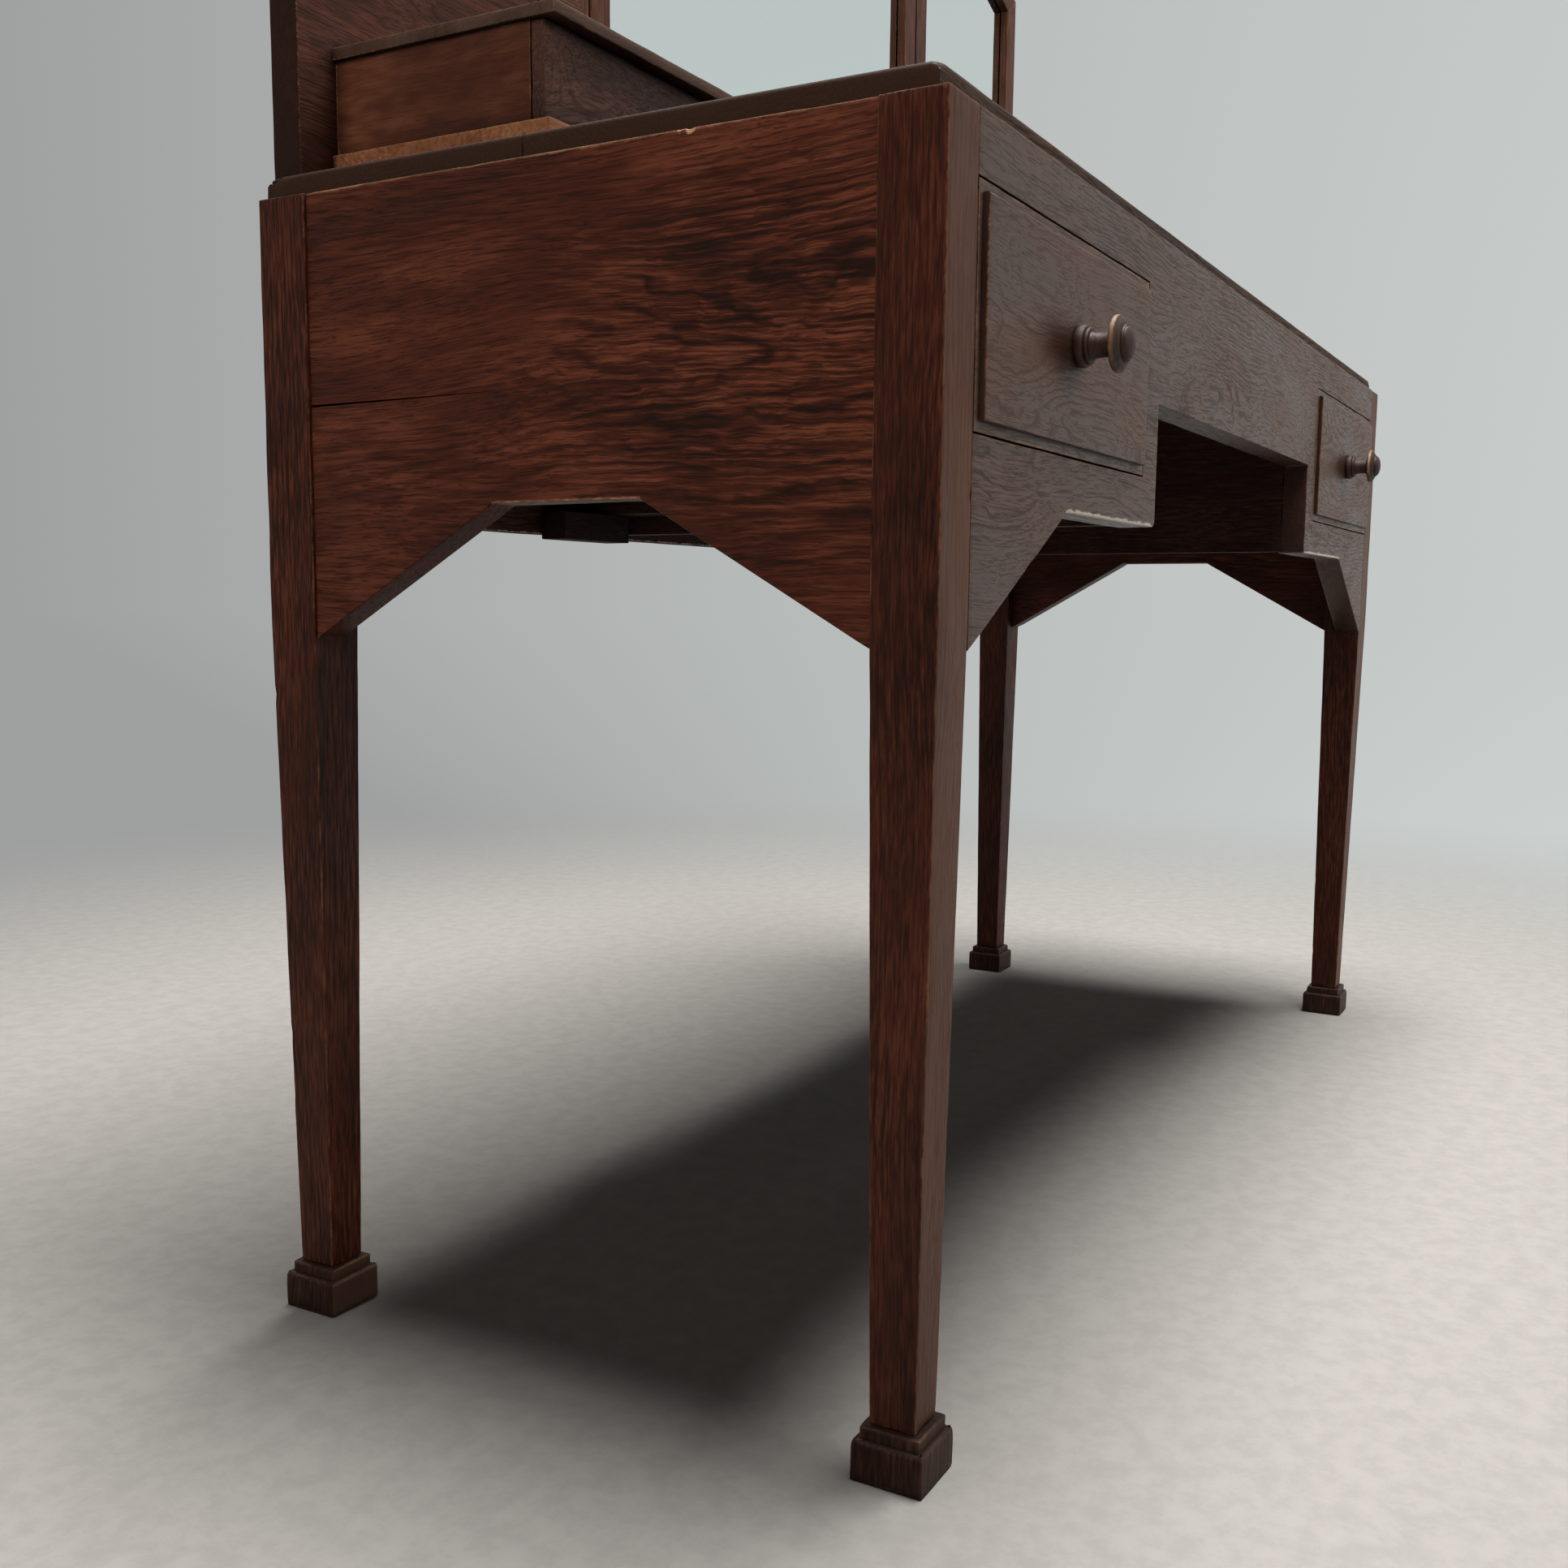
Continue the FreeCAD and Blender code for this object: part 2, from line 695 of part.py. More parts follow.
def jewel_front():
    body = board((case_inner, case_outer), (case_front_y, case_front_y + jewel_front_thickness), jewel_z)
    bore = Part.makeCylinder(jewel_spigot_radius, jewel_spigot_length,
                             point(jewel_middle_x, case_front_y, jewel_middle_z), Y_AXIS)
    return body.cut(bore)


def jewel_tray():
    """Two sides, a back and a bottom behind the jewel drawer's front."""
    x_span = grown((case_inner, case_outer), -case_side_thickness - jewel_gap)
    y_span = (case_front_y + jewel_front_thickness, face_y - jewel_tray_back_gap)
    z_span = (jewel_z[0], lid_bottom - jewel_tray_drop)
    wall_z = (z_span[0] + jewel_tray_bottom, z_span[1])
    floor = block(x_span, y_span, (z_span[0], wall_z[0]))
    low_wall = block((x_span[0], x_span[0] + jewel_tray_wall), y_span, wall_z)
    high_wall = block((x_span[1] - jewel_tray_wall, x_span[1]), y_span, wall_z)
    back_wall = block(grown(x_span, -jewel_tray_wall), (y_span[1] - jewel_tray_wall, y_span[1]), wall_z)
    return [floor, low_wall, high_wall, back_wall]


def jewel_knob():
    knob = turned(knob_profile_shares, jewel_knob_radius, jewel_knob_projection,
                  jewel_spigot_radius, jewel_spigot_length)
    knob.translate(point(jewel_middle_x, case_front_y, jewel_middle_z))
    return knob


def make_superstructure():
    for side, side_name in ((-1, "left"), (1, "right")):
        save("gallery_board_" + side_name, for_side(gallery_board(), side))
        save("jewel_case_" + side_name + "_base", for_side(case_base(), side))
        save("jewel_case_" + side_name + "_sides", [for_side(s, side) for s in case_sides()])
        save("jewel_case_" + side_name + "_lid", for_side(case_lid(), side))
        save("jewel_drawer_" + side_name + "_front", for_side(jewel_front(), side))
        save("jewel_drawer_" + side_name + "_tray", [for_side(s, side) for s in jewel_tray()])
        save("jewel_drawer_" + side_name + "_knob", for_side(jewel_knob(), side))


def line_crossing(first, second):
    """Where two lines, each (point, direction), cross in a plane."""
    (ax, az), (bx, bz) = first
    (cx, cz), (dx, dz) = second
    along = ((cx - ax) * dz - (cz - az) * dx) / (bx * dz - bz * dx)
    return ax + along * bx, az + along * bz


def inset(outline, margin):
    """A convex outline, drawn anticlockwise, moved inwards by the margin."""
    lines = []
    for start, end in zip(outline, outline[1:] + outline[:1]):
        run = (end[0] - start[0], end[1] - start[1])
        size = math.hypot(*run)
        moved = (start[0] - run[1] / size * margin, start[1] + run[0] / size * margin)
        lines.append((moved, run))
    return [line_crossing(before, line) for before, line in zip(lines[-1:] + lines[:-1], lines)]


def frame_members(outline):
    """Mitred members with a rebate at the back, one for each side of the outline."""
    sight = inset(outline, stile_width)
    rebate = inset(outline, stile_width - rebate_width)
    members = []
    for i in range(len(outline)):
        j = (i + 1) % len(outline)
        front = prism_y([outline[i], outline[j], sight[j], sight[i]], face_y, face_y + rebate_front)
        rear = prism_y([outline[i], outline[j], rebate[j], rebate[i]],
                       face_y + rebate_front, face_y + frame_thickness)
        members.append(united([front, rear]))
    return members


def polygon_at(outline, y):
    corners = [point(x, y, z) for x, z in outline]
    return Part.makePolygon(corners + corners[:1])


def mirror_glass(outline):
    """Plate with a wide shallow bevel round its front."""
    edge = inset(outline, stile_width - rebate_width + glass_play)
    flat = inset(edge, rebate_width - glass_play + glass_bevel_width)
    front = face_y + rebate_front
    bevel_back = front + glass_bevel_depth
    bevel = Part.makeLoft([polygon_at(flat, front), polygon_at(edge, bevel_back)], True, True)
    plate = prism_y(edge, bevel_back, front + glass_thickness)
    return bevel.fuse(plate)


def mirror_backing(outline):
    edge = inset(outline, stile_width - rebate_width + glass_play)
    front = face_y + rebate_front + glass_thickness
    return prism_y(edge, front, front + backing_thickness)


def centre_outline():
    shoulder = mirror_top - cant_rise
    flat = centre_half_width - cant_run
    return [(-centre_half_width, top_height), (centre_half_width, top_height),
            (centre_half_width, shoulder),
            (flat, mirror_top), (-flat, mirror_top), (-centre_half_width, shoulder)]


def wing_outline():
    """The right wing: one canted corner at its outer end."""
    return [(wing_inner, wing_bottom), (wing_outer, wing_bottom), (wing_outer, wing_shoulder_height),
            (wing_outer - cant_run, wing_shoulder_height + cant_rise),
            (wing_inner, wing_shoulder_height + cant_rise)]


def hinge_bottoms():
    """The low ends of the hinges on the wing's inner edge."""
    run = wing_shoulder_height + cant_rise - wing_bottom
    return [wing_bottom + share * run - hinge_height / 2 for share in hinge_place_shares]


def knuckle_spans(z):
    """The height spans of a hinge's knuckles, from the bottom up."""
    pitch = hinge_height / hinge_knuckle_count
    half_gap = hinge_knuckle_gap / 2
    return [(z + i * pitch + half_gap, z + (i + 1) * pitch - half_gap) for i in range(hinge_knuckle_count)]


def leaf_recess(wing):
    """The X span of a leaf, let into the edge of the centre frame or of the wing."""
    if wing:
        return wing_inner, wing_inner + hinge_leaf_thickness
    return centre_half_width - hinge_leaf_thickness, centre_half_width


def leaf_pockets(wing):
    """What is cut from a frame's edge for its right-hand leaves."""
    y_span = (face_y - cut_overrun, face_y + hinge_leaf_set_back + hinge_leaf_width)
    return [block(leaf_recess(wing), y_span, (z, z + hinge_height)) for z in hinge_bottoms()]


def barrel(z_span, radius):
    return Part.makeCylinder(radius, z_span[1] - z_span[0], point(hinge_x, hinge_y, z_span[0]), Z_AXIS)


def hinge_leaf(z, wing):
    """One leaf with its knuckles: the middle one on the wing, the outer ones on the centre frame."""
    leaf_y = (face_y + hinge_leaf_set_back, face_y + hinge_leaf_set_back + hinge_leaf_width)
    leaf = block(leaf_recess(wing), leaf_y, (z, z + hinge_height))
    pieces = [leaf]
    for index, span in enumerate(knuckle_spans(z)):
        on_wing = index % 2 == 1
        if on_wing == wing:
            pieces.append(barrel(span, hinge_barrel_radius))
            pieces.append(block(leaf_recess(wing), (hinge_y, leaf_y[0]), span))
    if wing:
        bore = barrel((z, z + hinge_height), hinge_pin_radius + hinge_running_clearance)
        return united(pieces).cut(bore)
    return united(pieces + [barrel((z, z + hinge_height), hinge_pin_radius)])


def make_mirror():
    centre = centre_outline()
    pockets = leaf_pockets(False)
    pockets = pockets + [for_side(pocket, -1) for pocket in pockets]
    save("mirror_centre_frame", [less(member, pockets) for member in frame_members(centre)])
    save("mirror_centre_glass", mirror_glass(centre))
    save("mirror_centre_backing", mirror_backing(centre))
    wing = wing_outline()
    for side, side_name in ((-1, "left"), (1, "right")):
        members = [less(member, leaf_pockets(True)) for member in frame_members(wing)]
        save("mirror_" + side_name + "_frame", [for_side(member, side) for member in members])
        save("mirror_" + side_name + "_glass", for_side(mirror_glass(wing), side))
        save("mirror_" + side_name + "_backing", for_side(mirror_backing(wing), side))
        save("hinge_leaves_" + side_name, [for_side(hinge_leaf(z, True), side) for z in hinge_bottoms()])
    save("hinge_leaves_centre", [for_side(hinge_leaf(z, False), side) for side in (-1, 1)
                                 for z in hinge_bottoms()])
    outer = centre_half_width - post_inset
    post = board((outer - post_width, outer), (half_depth, back_reach),
                 (top_height - post_drop, top_height + post_rise))
    save("mirror_posts", [post, for_side(post, -1)])


make_legs_and_feet()
make_end_panels()
make_carcase()
make_top()
make_drawers()
make_superstructure()
make_mirror()
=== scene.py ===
"""Knee-hole dressing table in fumed oak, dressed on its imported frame.

Lengths are metres unless a name ends in _mm. The sub-assemblies are drawn from the middle of
the legs' outer box, with the front towards -Y and the left end towards -X. Workpiece.make
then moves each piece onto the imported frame, whose origin lies under the middle of the
whole table.
"""

import cmath
import logging
import math
import random
import zlib
from collections.abc import Callable, Sequence
from dataclasses import dataclass, replace
from enum import Enum
from itertools import product

import bmesh
import bpy
import numpy as np
from mathutils import Matrix, Vector, noise
from mathutils.geometry import intersect_point_line

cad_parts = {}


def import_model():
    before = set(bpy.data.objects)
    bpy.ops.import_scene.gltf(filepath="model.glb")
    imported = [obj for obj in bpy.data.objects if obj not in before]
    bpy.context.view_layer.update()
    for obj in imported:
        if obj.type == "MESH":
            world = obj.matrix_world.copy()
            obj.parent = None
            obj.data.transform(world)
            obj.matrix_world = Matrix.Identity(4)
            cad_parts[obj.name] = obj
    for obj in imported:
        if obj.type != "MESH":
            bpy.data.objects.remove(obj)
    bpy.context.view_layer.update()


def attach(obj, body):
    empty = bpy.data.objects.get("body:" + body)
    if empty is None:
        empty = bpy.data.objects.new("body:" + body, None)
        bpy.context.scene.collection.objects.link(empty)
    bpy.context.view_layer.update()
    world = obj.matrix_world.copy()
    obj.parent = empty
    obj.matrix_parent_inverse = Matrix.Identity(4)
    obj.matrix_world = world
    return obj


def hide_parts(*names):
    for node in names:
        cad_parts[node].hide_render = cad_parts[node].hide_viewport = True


LOG = logging.getLogger("dressing_table")
FRAME_SHIFT = Vector((0.0, 0.009, 0.0))
MM = 0.001
CLOSE = 0.1 * MM
ARRIS_REACH_MM = 12.0
SHARP_ANGLE = math.radians(30)
SMOOTH_ANGLE = math.radians(40)
GLASS_ANGLE = math.radians(3)
RUBBED_REACH = 2.5 * MM
CHIP_MARGIN = 14 * MM
DENT_RADIUS_MM = (2.5, 7.0)
DENT_DEPTH_MM = (0.3, 1.1)

Colour = tuple[float, float, float]
Point = tuple[float, float]
Corner = tuple[float, float, float]
Spot = tuple[float, float, float, float]
Line = tuple[Vector, Vector]
Feed = "Signal | float | tuple[float, ...]"


class Worded(Enum):
    """A choice that shows in the nodes' names."""

    @property
    def word(self) -> str:
        """The name as the nodes spell it."""
        return self.name.lower()


class Side(Worded):
    """An end of the table."""

    LEFT = -1
    RIGHT = 1


class Depth(Worded):
    """The front or the back of the table."""

    FRONT = -1
    BACK = 1


class Axis(Enum):
    """The direction in which an outline is drawn out into a board."""

    X = 0
    Y = 1
    Z = 2

    def place(self, a: float, b: float, level: float) -> Corner:
        """Puts an outline's point at a level on this axis."""
        return (*(a, b)[:self.value], level, *(a, b)[self.value:])


class Grain(Enum):
    """The way a board's grain runs: its length, width and thickness as axis numbers."""

    ALONG_X = (0, 2, 1)
    ALONG_Y = (1, 2, 0)
    ALONG_Z = (2, 0, 1)
    FLAT_X = (0, 1, 2)


@dataclass(frozen=True)
class Signal:
    """What a node gives out; it takes part in sums as a number or a vector does."""

    sheet: "NodeSheet"
    node: bpy.types.Node
    output: str | int = 0

    @property
    def socket(self) -> bpy.types.NodeSocket:
        """The node's output."""
        return self.node.outputs[self.output]

    def apply(self, operation: str, other: Feed = 0.0) -> "Signal":
        """Works out one sum with another value, of vectors where either is one."""
        kind = "VectorMath" if self.socket.type == "VECTOR" or isinstance(other, tuple) else "Math"
        return self.sheet.add(kind, {0: self, 1: other}, operation=operation)

    def __add__(self, other: Feed) -> "Signal":
        """Adds to it."""
        return self.apply("ADD", other)

    def __sub__(self, other: Feed) -> "Signal":
        """Takes from it."""
        return self.apply("SUBTRACT", other)

    def __mul__(self, other: Feed) -> "Signal":
        """Multiplies it."""
        return self.apply("MULTIPLY", other)

    def measure(self, operation: str, other: Corner = (0.0, 0.0, 0.0)) -> "Signal":
        """A number taken from this vector, such as its length."""
        return self.sheet.add("VectorMath", {0: self, 1: other}, "Value", operation=operation)

    def part(self, axis: int) -> "Signal":
        """This vector's part along an axis."""
        return self.sheet.add("SeparateXYZ", {0: self}, axis)

    def cloud(self, scale: Corner, detail: float = 2.0, rough: float = 0.5, output: str = "Fac") -> "Signal":
        """Noise at this place, with a number of cells for each millimetre along each axis."""
        inputs = {"Vector": self * scale, "Scale": 1.0, "Detail": detail, "Roughness": rough}
        return self.sheet.add("TexNoise", inputs, output)

    def between(self, low: float, high: float, to_low: float = 0.0, to_high: float = 1.0) -> "Signal":
        """Maps it smoothly from one range to another."""
        limits = {"Value": self, "From Min": low, "From Max": high, "To Min": to_low, "To Max": to_high}
        return self.sheet.add("MapRange", limits, interpolation_type="SMOOTHSTEP")

    def mix(self, first: Feed, second: Feed) -> "Signal":
        """Blends two colours, with this as the share of the second."""
        return self.sheet.add("Mix", {0: self, 6: first, 7: second}, 2, data_type="RGBA")

    def ramp(self, stops: Sequence[tuple[float, Colour]]) -> "Signal":
        """Colours it along a ramp.

        Args:
            stops: Each stop's place and colour, in order.

        Returns:
            The colour.
        """
        coloured = self.sheet.add("ValToRGB", {0: self})
        points = coloured.node.color_ramp.elements
        while len(points) < len(stops):
            points.new(0.5)
        for element, (place, colour) in zip(points, stops):
            element.position = place
            element.color = (*colour, 1.0)
        return coloured


class NodeSheet:
    """A node tree, laid out with short calls."""

    def __init__(self, owner: bpy.types.Material | bpy.types.World) -> None:
        """Starts an empty node tree.

        Args:
            owner: The new material or world that it belongs to.
        """
        self.owner = owner
        owner.use_nodes = True
        owner.node_tree.nodes.clear()

    def add(self, kind: str, inputs: dict[str | int, Feed], output: str | int = 0,
            **settings: str | int) -> Signal:
        """Adds a node.

        Args:
            kind: The node's type, without its first two words.
            inputs: What feeds each input, by name or number.
            output: The output that is read.
            settings: The node's own settings.

        Returns:
            The output's signal.
        """
        node = self.owner.node_tree.nodes.new("ShaderNode" + kind)
        for key, value in settings.items():
            setattr(node, key, value)
        for key, value in inputs.items():
            socket = node.inputs[key]
            if isinstance(value, Signal):
                self.owner.node_tree.links.new(value.socket, socket)
            else:
                socket.default_value = (*value, 1.0) if socket.type == "RGBA" else value
        return Signal(self, node, output)

    def place_mm(self, centre: Vector, grain: Grain) -> Signal:
        """A piece's own place in millimetres: along its grain, across it, and through it."""
        spot = (self.add("TexCoord", {}, "Object") - tuple(centre)) * (1 / MM, 1 / MM, 1 / MM)
        return self.add("CombineXYZ", {i: spot.part(axis) for i, axis in enumerate(grain.value)})

    def mark(self, word: str) -> Signal:
        """What Workpiece.make wrote on the mesh: "arris" or "bare", in millimetres."""
        return self.add("Attribute", {}, "Fac", attribute_name=word)

    def surface(self, colour: Feed, roughness: Feed, height: Signal, relief_mm: float, strength: float,
                **constants: Feed) -> Signal:
        """Adds the surface shader.

        Args:
            colour: The base colour.
            roughness: The roughness.
            height: The relief, from 0 to 1.
            relief_mm: How deep the relief is.
            strength: How strongly it shows.
            constants: Values for the shader's other sockets; _ stands for a space.

        Returns:
            The shader.
        """
        bump = self.add("Bump", {"Height": height, "Distance": relief_mm * MM, "Strength": strength})
        others = {key.replace("_", " "): value for key, value in constants.items()}
        return self.add("BsdfPrincipled", {"Base Color": colour, "Roughness": roughness, "Normal": bump,
                                           **others})

    def end(self, shader: Signal) -> bpy.types.Material:
        """Hands the last shader to the material's output."""
        self.add("OutputMaterial", {"Surface": shader})
        return self.owner


def new_sheet(name: str) -> NodeSheet:
    """Starts the finish of the piece of this name."""
    return NodeSheet(bpy.data.materials.new(name + "_finish"))


def seed_of(name: str) -> int:
    """The number from which a name's random values follow."""
    return zlib.crc32(name.encode())


@dataclass(frozen=True)
class Oak:
    """Oak, fumed and waxed: rings cut by the board's face, dark lines, pores and rubbed arrises.

    The tones are the dark, the middle and the light one. Two places, wild_mm for the strongest
    figure and a second for the painted shade of a drawer's knob, its shadow and its dark
    reflection, give their middle and their reach, along and across the grain. The finish can also
    paint a grey sheen on faces that look to the front, and shade in crevices and under overhangs.
    """

    slot: str
    grain: Grain
    tones: tuple[Colour, Colour, Colour]
    line: Colour = (0.0095, 0.0036, 0.0022)
    rubbed: Colour = (0.19, 0.092, 0.048)
    bare: Colour = (0.27, 0.145, 0.083)
    film: Colour = (0.10, 0.085, 0.075)
    smudge: Colour = (0.022, 0.0095, 0.0062)
    heart_mm: Point = (0.0, 95.0)
    ring_mm: float = 2.5
    fleck_mm: Point = (28.0, 4.5)
    sway_mm: float = 26.0
    ripple_mm: float = 2.3
    ring_share: float = 0.16
    streak_share: float = 0.19
    patch_share: float = 0.21
    line_share: float = 0.88
    film_share: float = 0.0
    wild_mm: Spot | None = None
    smudge_mm: Spot | None = None
    rub_share: float = 0.5
    rub_floor: float = 0.12
    rub_reach_mm: float = 1.3
    soil_mm: float = 0.0
    end_share: float = 0.55
    roughness: float = 0.46
    shine: float = 0.2
    relief: float = 0.3

    def dress(self, name: str, centre: Vector) -> bpy.types.Material:
        """Makes this finish for one piece.

        Args:
            name: The piece's name, which settles its own figure.
            centre: The middle of the piece.

        Returns:
            The material.
        """
        sheet = new_sheet(name)
        draw = random.Random(seed_of(name))
        own = tuple(draw.uniform(-900, 900) for _ in range(3))
        place = sheet.place_mm(centre, self.grain)
        spot = place + own
        wild = self.wildness(place, spot)
        strayed = self.stray(place, spot, wild)
        early = self.rings(strayed, spot)
        own_strayed = strayed + own
        line = self.lines(own_strayed, early, wild)
        along, across = self.fleck_mm
        streak = own_strayed.cloud((1 / along, 1 / across, 1 / across))
        patch = spot.cloud((0.0075, 0.024, 0.024), 3.0, 0.55)
        figure = streak.between(0.3, 0.7, -self.streak_share, self.streak_share) - early * self.ring_share
        tone = figure * wild + patch.between(0.3, 0.7, 0.51 - self.patch_share, 0.51 + self.patch_share)
        colour = tone.ramp(tuple(zip((0.0, 0.45, 0.95), self.tones)))
        colour = (line * self.line_share).mix(colour, self.line)
        normal = sheet.add("TexCoord", {}, "Normal")
        # Painted sheen: a grey veil on faces that look to the front, for the gloss and the stronger light
        # that they catch from that side.
        if self.film_share:
            uneven = spot.cloud((0.004, 0.011, 0.011)).between(0.36, 0.64, 0.55 * self.film_share,
                                                               self.film_share)
            facing = normal.measure("DOT_PRODUCT", (0.0, -1.0, 0.0)).between(0.3, 0.8)
            colour = (uneven * facing).mix(colour, self.film)
        shine: Feed = self.shine
        # Painted shade and reflection of the knob: darker colour and less gloss round a spot beside it on
        # the drawer front.
        if self.smudge_mm:
            smudge = self.nearness(place, self.smudge_mm, 0.1, 1.0) * 0.9
            colour = smudge.mix(colour, self.smudge)
            shine = (smudge - 1.0) * -self.shine
        end = normal.part(self.grain.value[0]).apply("ABSOLUTE").between(0.4, 0.8, 0.0, self.end_share)
        colour = end.mix(colour, self.tones[0])
        # Painted shade: the colour darkens towards the line colour where ambient occlusion finds crevices
        # and overhangs, such as under a lid.
        if self.soil_mm:
            air = sheet.add("AmbientOcclusion", {"Distance": self.soil_mm * MM}, "AO", samples=4)
            colour = air.between(0.5, 0.97, 0.85, 0.0).mix(colour, self.line)
        rough = line * 0.2 + self.roughness + patch.between(0.3, 0.7, -0.05, 0.06)
        return sheet.end(sheet.surface(self.rub(spot, colour), rough, streak * 0.5 - line, 0.5, self.relief,
                                       Specular_IOR_Level=shine))

    @staticmethod
    def nearness(place: Signal, spot: Spot, full: float, none: float) -> Signal:
        """One near a spot's middle, falling to zero between two shares of its reach."""
        away = (place - (*spot[:2], 0.0)) * (1 / spot[2], 1 / spot[3], 0.0)
        return away.measure("LENGTH").between(full, none, 1.0, 0.0)

    def wildness(self, place: Signal, spot: Signal) -> Signal:
        """How strong the figure is at a place; the spot is the place in the piece's own noise."""
        wild = spot.cloud((0.005, 0.012, 0.012)).between(0.35, 0.65, 0.45, 1.0)
        return wild * 0.6 + self.nearness(place, self.wild_mm, 0.2, 1.3) * 0.95 if self.wild_mm else wild

    def stray(self, place: Signal, spot: Signal, wild: Signal) -> Signal:
        """The place after the grain has strayed and rippled as it does in a real tree.

        Args:
            place: The piece's own place.
            spot: The place in the piece's own noise.
            wild: How strong the figure is.

        Returns:
            The strayed place.
        """
        middle = (0.5, 0.5, 0.5)
        sway = spot.cloud((0.0045, 0.011, 0.011), 1.0, 0.4, "Color") - middle
        ripple = spot.cloud((0.062, 0.030, 0.030), 1.0, 0.5, "Color") - middle
        ripple *= (0.0, self.ripple_mm, self.ripple_mm)
        return place + sway * (0.0, self.sway_mm, self.sway_mm * 1.5) + ripple * wild

    def rings(self, strayed: Signal, spot: Signal) -> Signal:
        """The tree's rings round its heart.

        Args:
            strayed: The strayed place.
            spot: The place in the piece's own noise.

        Returns:
            One where a year starts, falling to zero on both sides.
        """
        radius = (strayed * (0.0, 1.0, 1.0) - (0.0, *self.heart_mm)).measure("LENGTH")
        count = radius.apply("DIVIDE", self.ring_mm) + spot.cloud((0.004, 0.05, 0.05), 1.0) * 3.0
        greys = ((0.0, 1.0), (0.10, 0.85), (0.30, 0.0), (0.86, 0.0), (1.0, 1.0))
        return count.apply("FRACT").ramp([(at, (grey, grey, grey)) for at, grey in greys])

    @staticmethod
    def lines(strayed: Signal, early: Signal, wild: Signal) -> Signal:
        """Dark lines where a year starts, fine lines between them, and open pores.

        Args:
            strayed: The strayed place in the piece's own noise.
            early: How near the start of a year is.
            wild: How strong the figure is.

        Returns:
            A value from 0 to 1 in a line or pore.
        """
        broken = strayed.cloud((0.030, 0.21, 0.21), 2.0, 0.6) + wild * 0.06
        fine = strayed.cloud((0.026, 0.80, 0.80), 2.0, 0.6) + wild * 0.04
        pore = strayed.cloud((0.085, 1.2, 1.2), 1.0) + early * 0.05
        ringed = early * broken.between(0.44, 0.58) * wild.between(0.2, 1.1)
        thin = (fine.between(0.54, 0.64) * 0.75).apply("MAXIMUM", pore.between(0.58, 0.70) * 0.65)
        return ringed.apply("MAXIMUM", thin)

    def rub(self, spot: Signal, colour: Signal) -> Signal:
        """Rubs the finish off the arrises and shows the wood where it is bare.

        Args:
            spot: The place in the piece's own noise.
            colour: The colour before.

        Returns:
            The colour after.
        """
        uneven = spot.cloud((0.03, 0.03, 0.03), 3.0, 0.65).between(0.42, 0.62, self.rub_floor, 1.0)
        ragged = spot.cloud((0.16, 0.5, 0.5), 2.0, 0.6).between(0.3, 0.7, -0.7, 0.7)
        outer = ARRIS_REACH_MM - 0.3
        near = (spot.sheet.mark("arris") + ragged * 0.5).between(ARRIS_REACH_MM - self.rub_reach_mm, outer)
        colour = (near * uneven * self.rub_share).mix(colour, self.rubbed)
        bare = (spot.sheet.mark("bare") + ragged).between(outer, ARRIS_REACH_MM + 0.5)
        return (bare * 0.9).mix(colour, self.bare)


@dataclass(frozen=True)
class Silvering:
    """Silvered plate glass, with old grey spots near its edge."""

    slot: str = "silvered_glass"
    silver: Colour = (0.79, 0.84, 0.84)
    spotted: Colour = (0.30, 0.31, 0.29)

    def dress(self, name: str, centre: Vector) -> bpy.types.Material:
        """Makes this finish for one glass.

        Args:
            name: The glass's name.
            centre: The middle of the glass.

        Returns:
            The material.
        """
        sheet = new_sheet(name)
        place = sheet.place_mm(centre, Grain.ALONG_Z)
        reach = sheet.mark("arris").between(0.0, ARRIS_REACH_MM, 0.0, 0.22)
        spots = (place.cloud((0.35, 0.35, 0.35), 3.0, 0.7) + reach).between(0.74, 0.82)
        haze = place.cloud((0.02, 0.02, 0.02))
        rough = haze.between(0.3, 0.7, 0.012, 0.03) + spots * 0.3
        return sheet.end(sheet.surface(spots.mix(self.silver, self.spotted), rough, haze, 0.02, 0.02,
                                       Metallic=1.0))


@dataclass(frozen=True)
class Brass:
    """Old brass, browned in patches."""

    slot: str = "hinge_brass"
    bright: Colour = (0.42, 0.29, 0.12)
    browned: Colour = (0.10, 0.062, 0.03)

    def dress(self, name: str, centre: Vector) -> bpy.types.Material:
        """Makes this finish for one piece of brass.

        Args:
            name: The piece's name.
            centre: The middle of the piece.

        Returns:
            The material.
        """
        sheet = new_sheet(name)
        place = sheet.place_mm(centre, Grain.ALONG_Z)
        stain = place.cloud((0.18, 0.25, 0.25), 3.0, 0.65)
        scratch = place.cloud((0.4, 4.0, 4.0), 2.0, 0.6)
        colour = stain.between(0.38, 0.66).mix(self.bright, self.browned)
        return sheet.end(sheet.surface(colour, stain.between(0.3, 0.7, 0.28, 0.5), scratch, 0.05, 0.15,
                                       Metallic=1.0))


Finish = Oak | Silvering | Brass

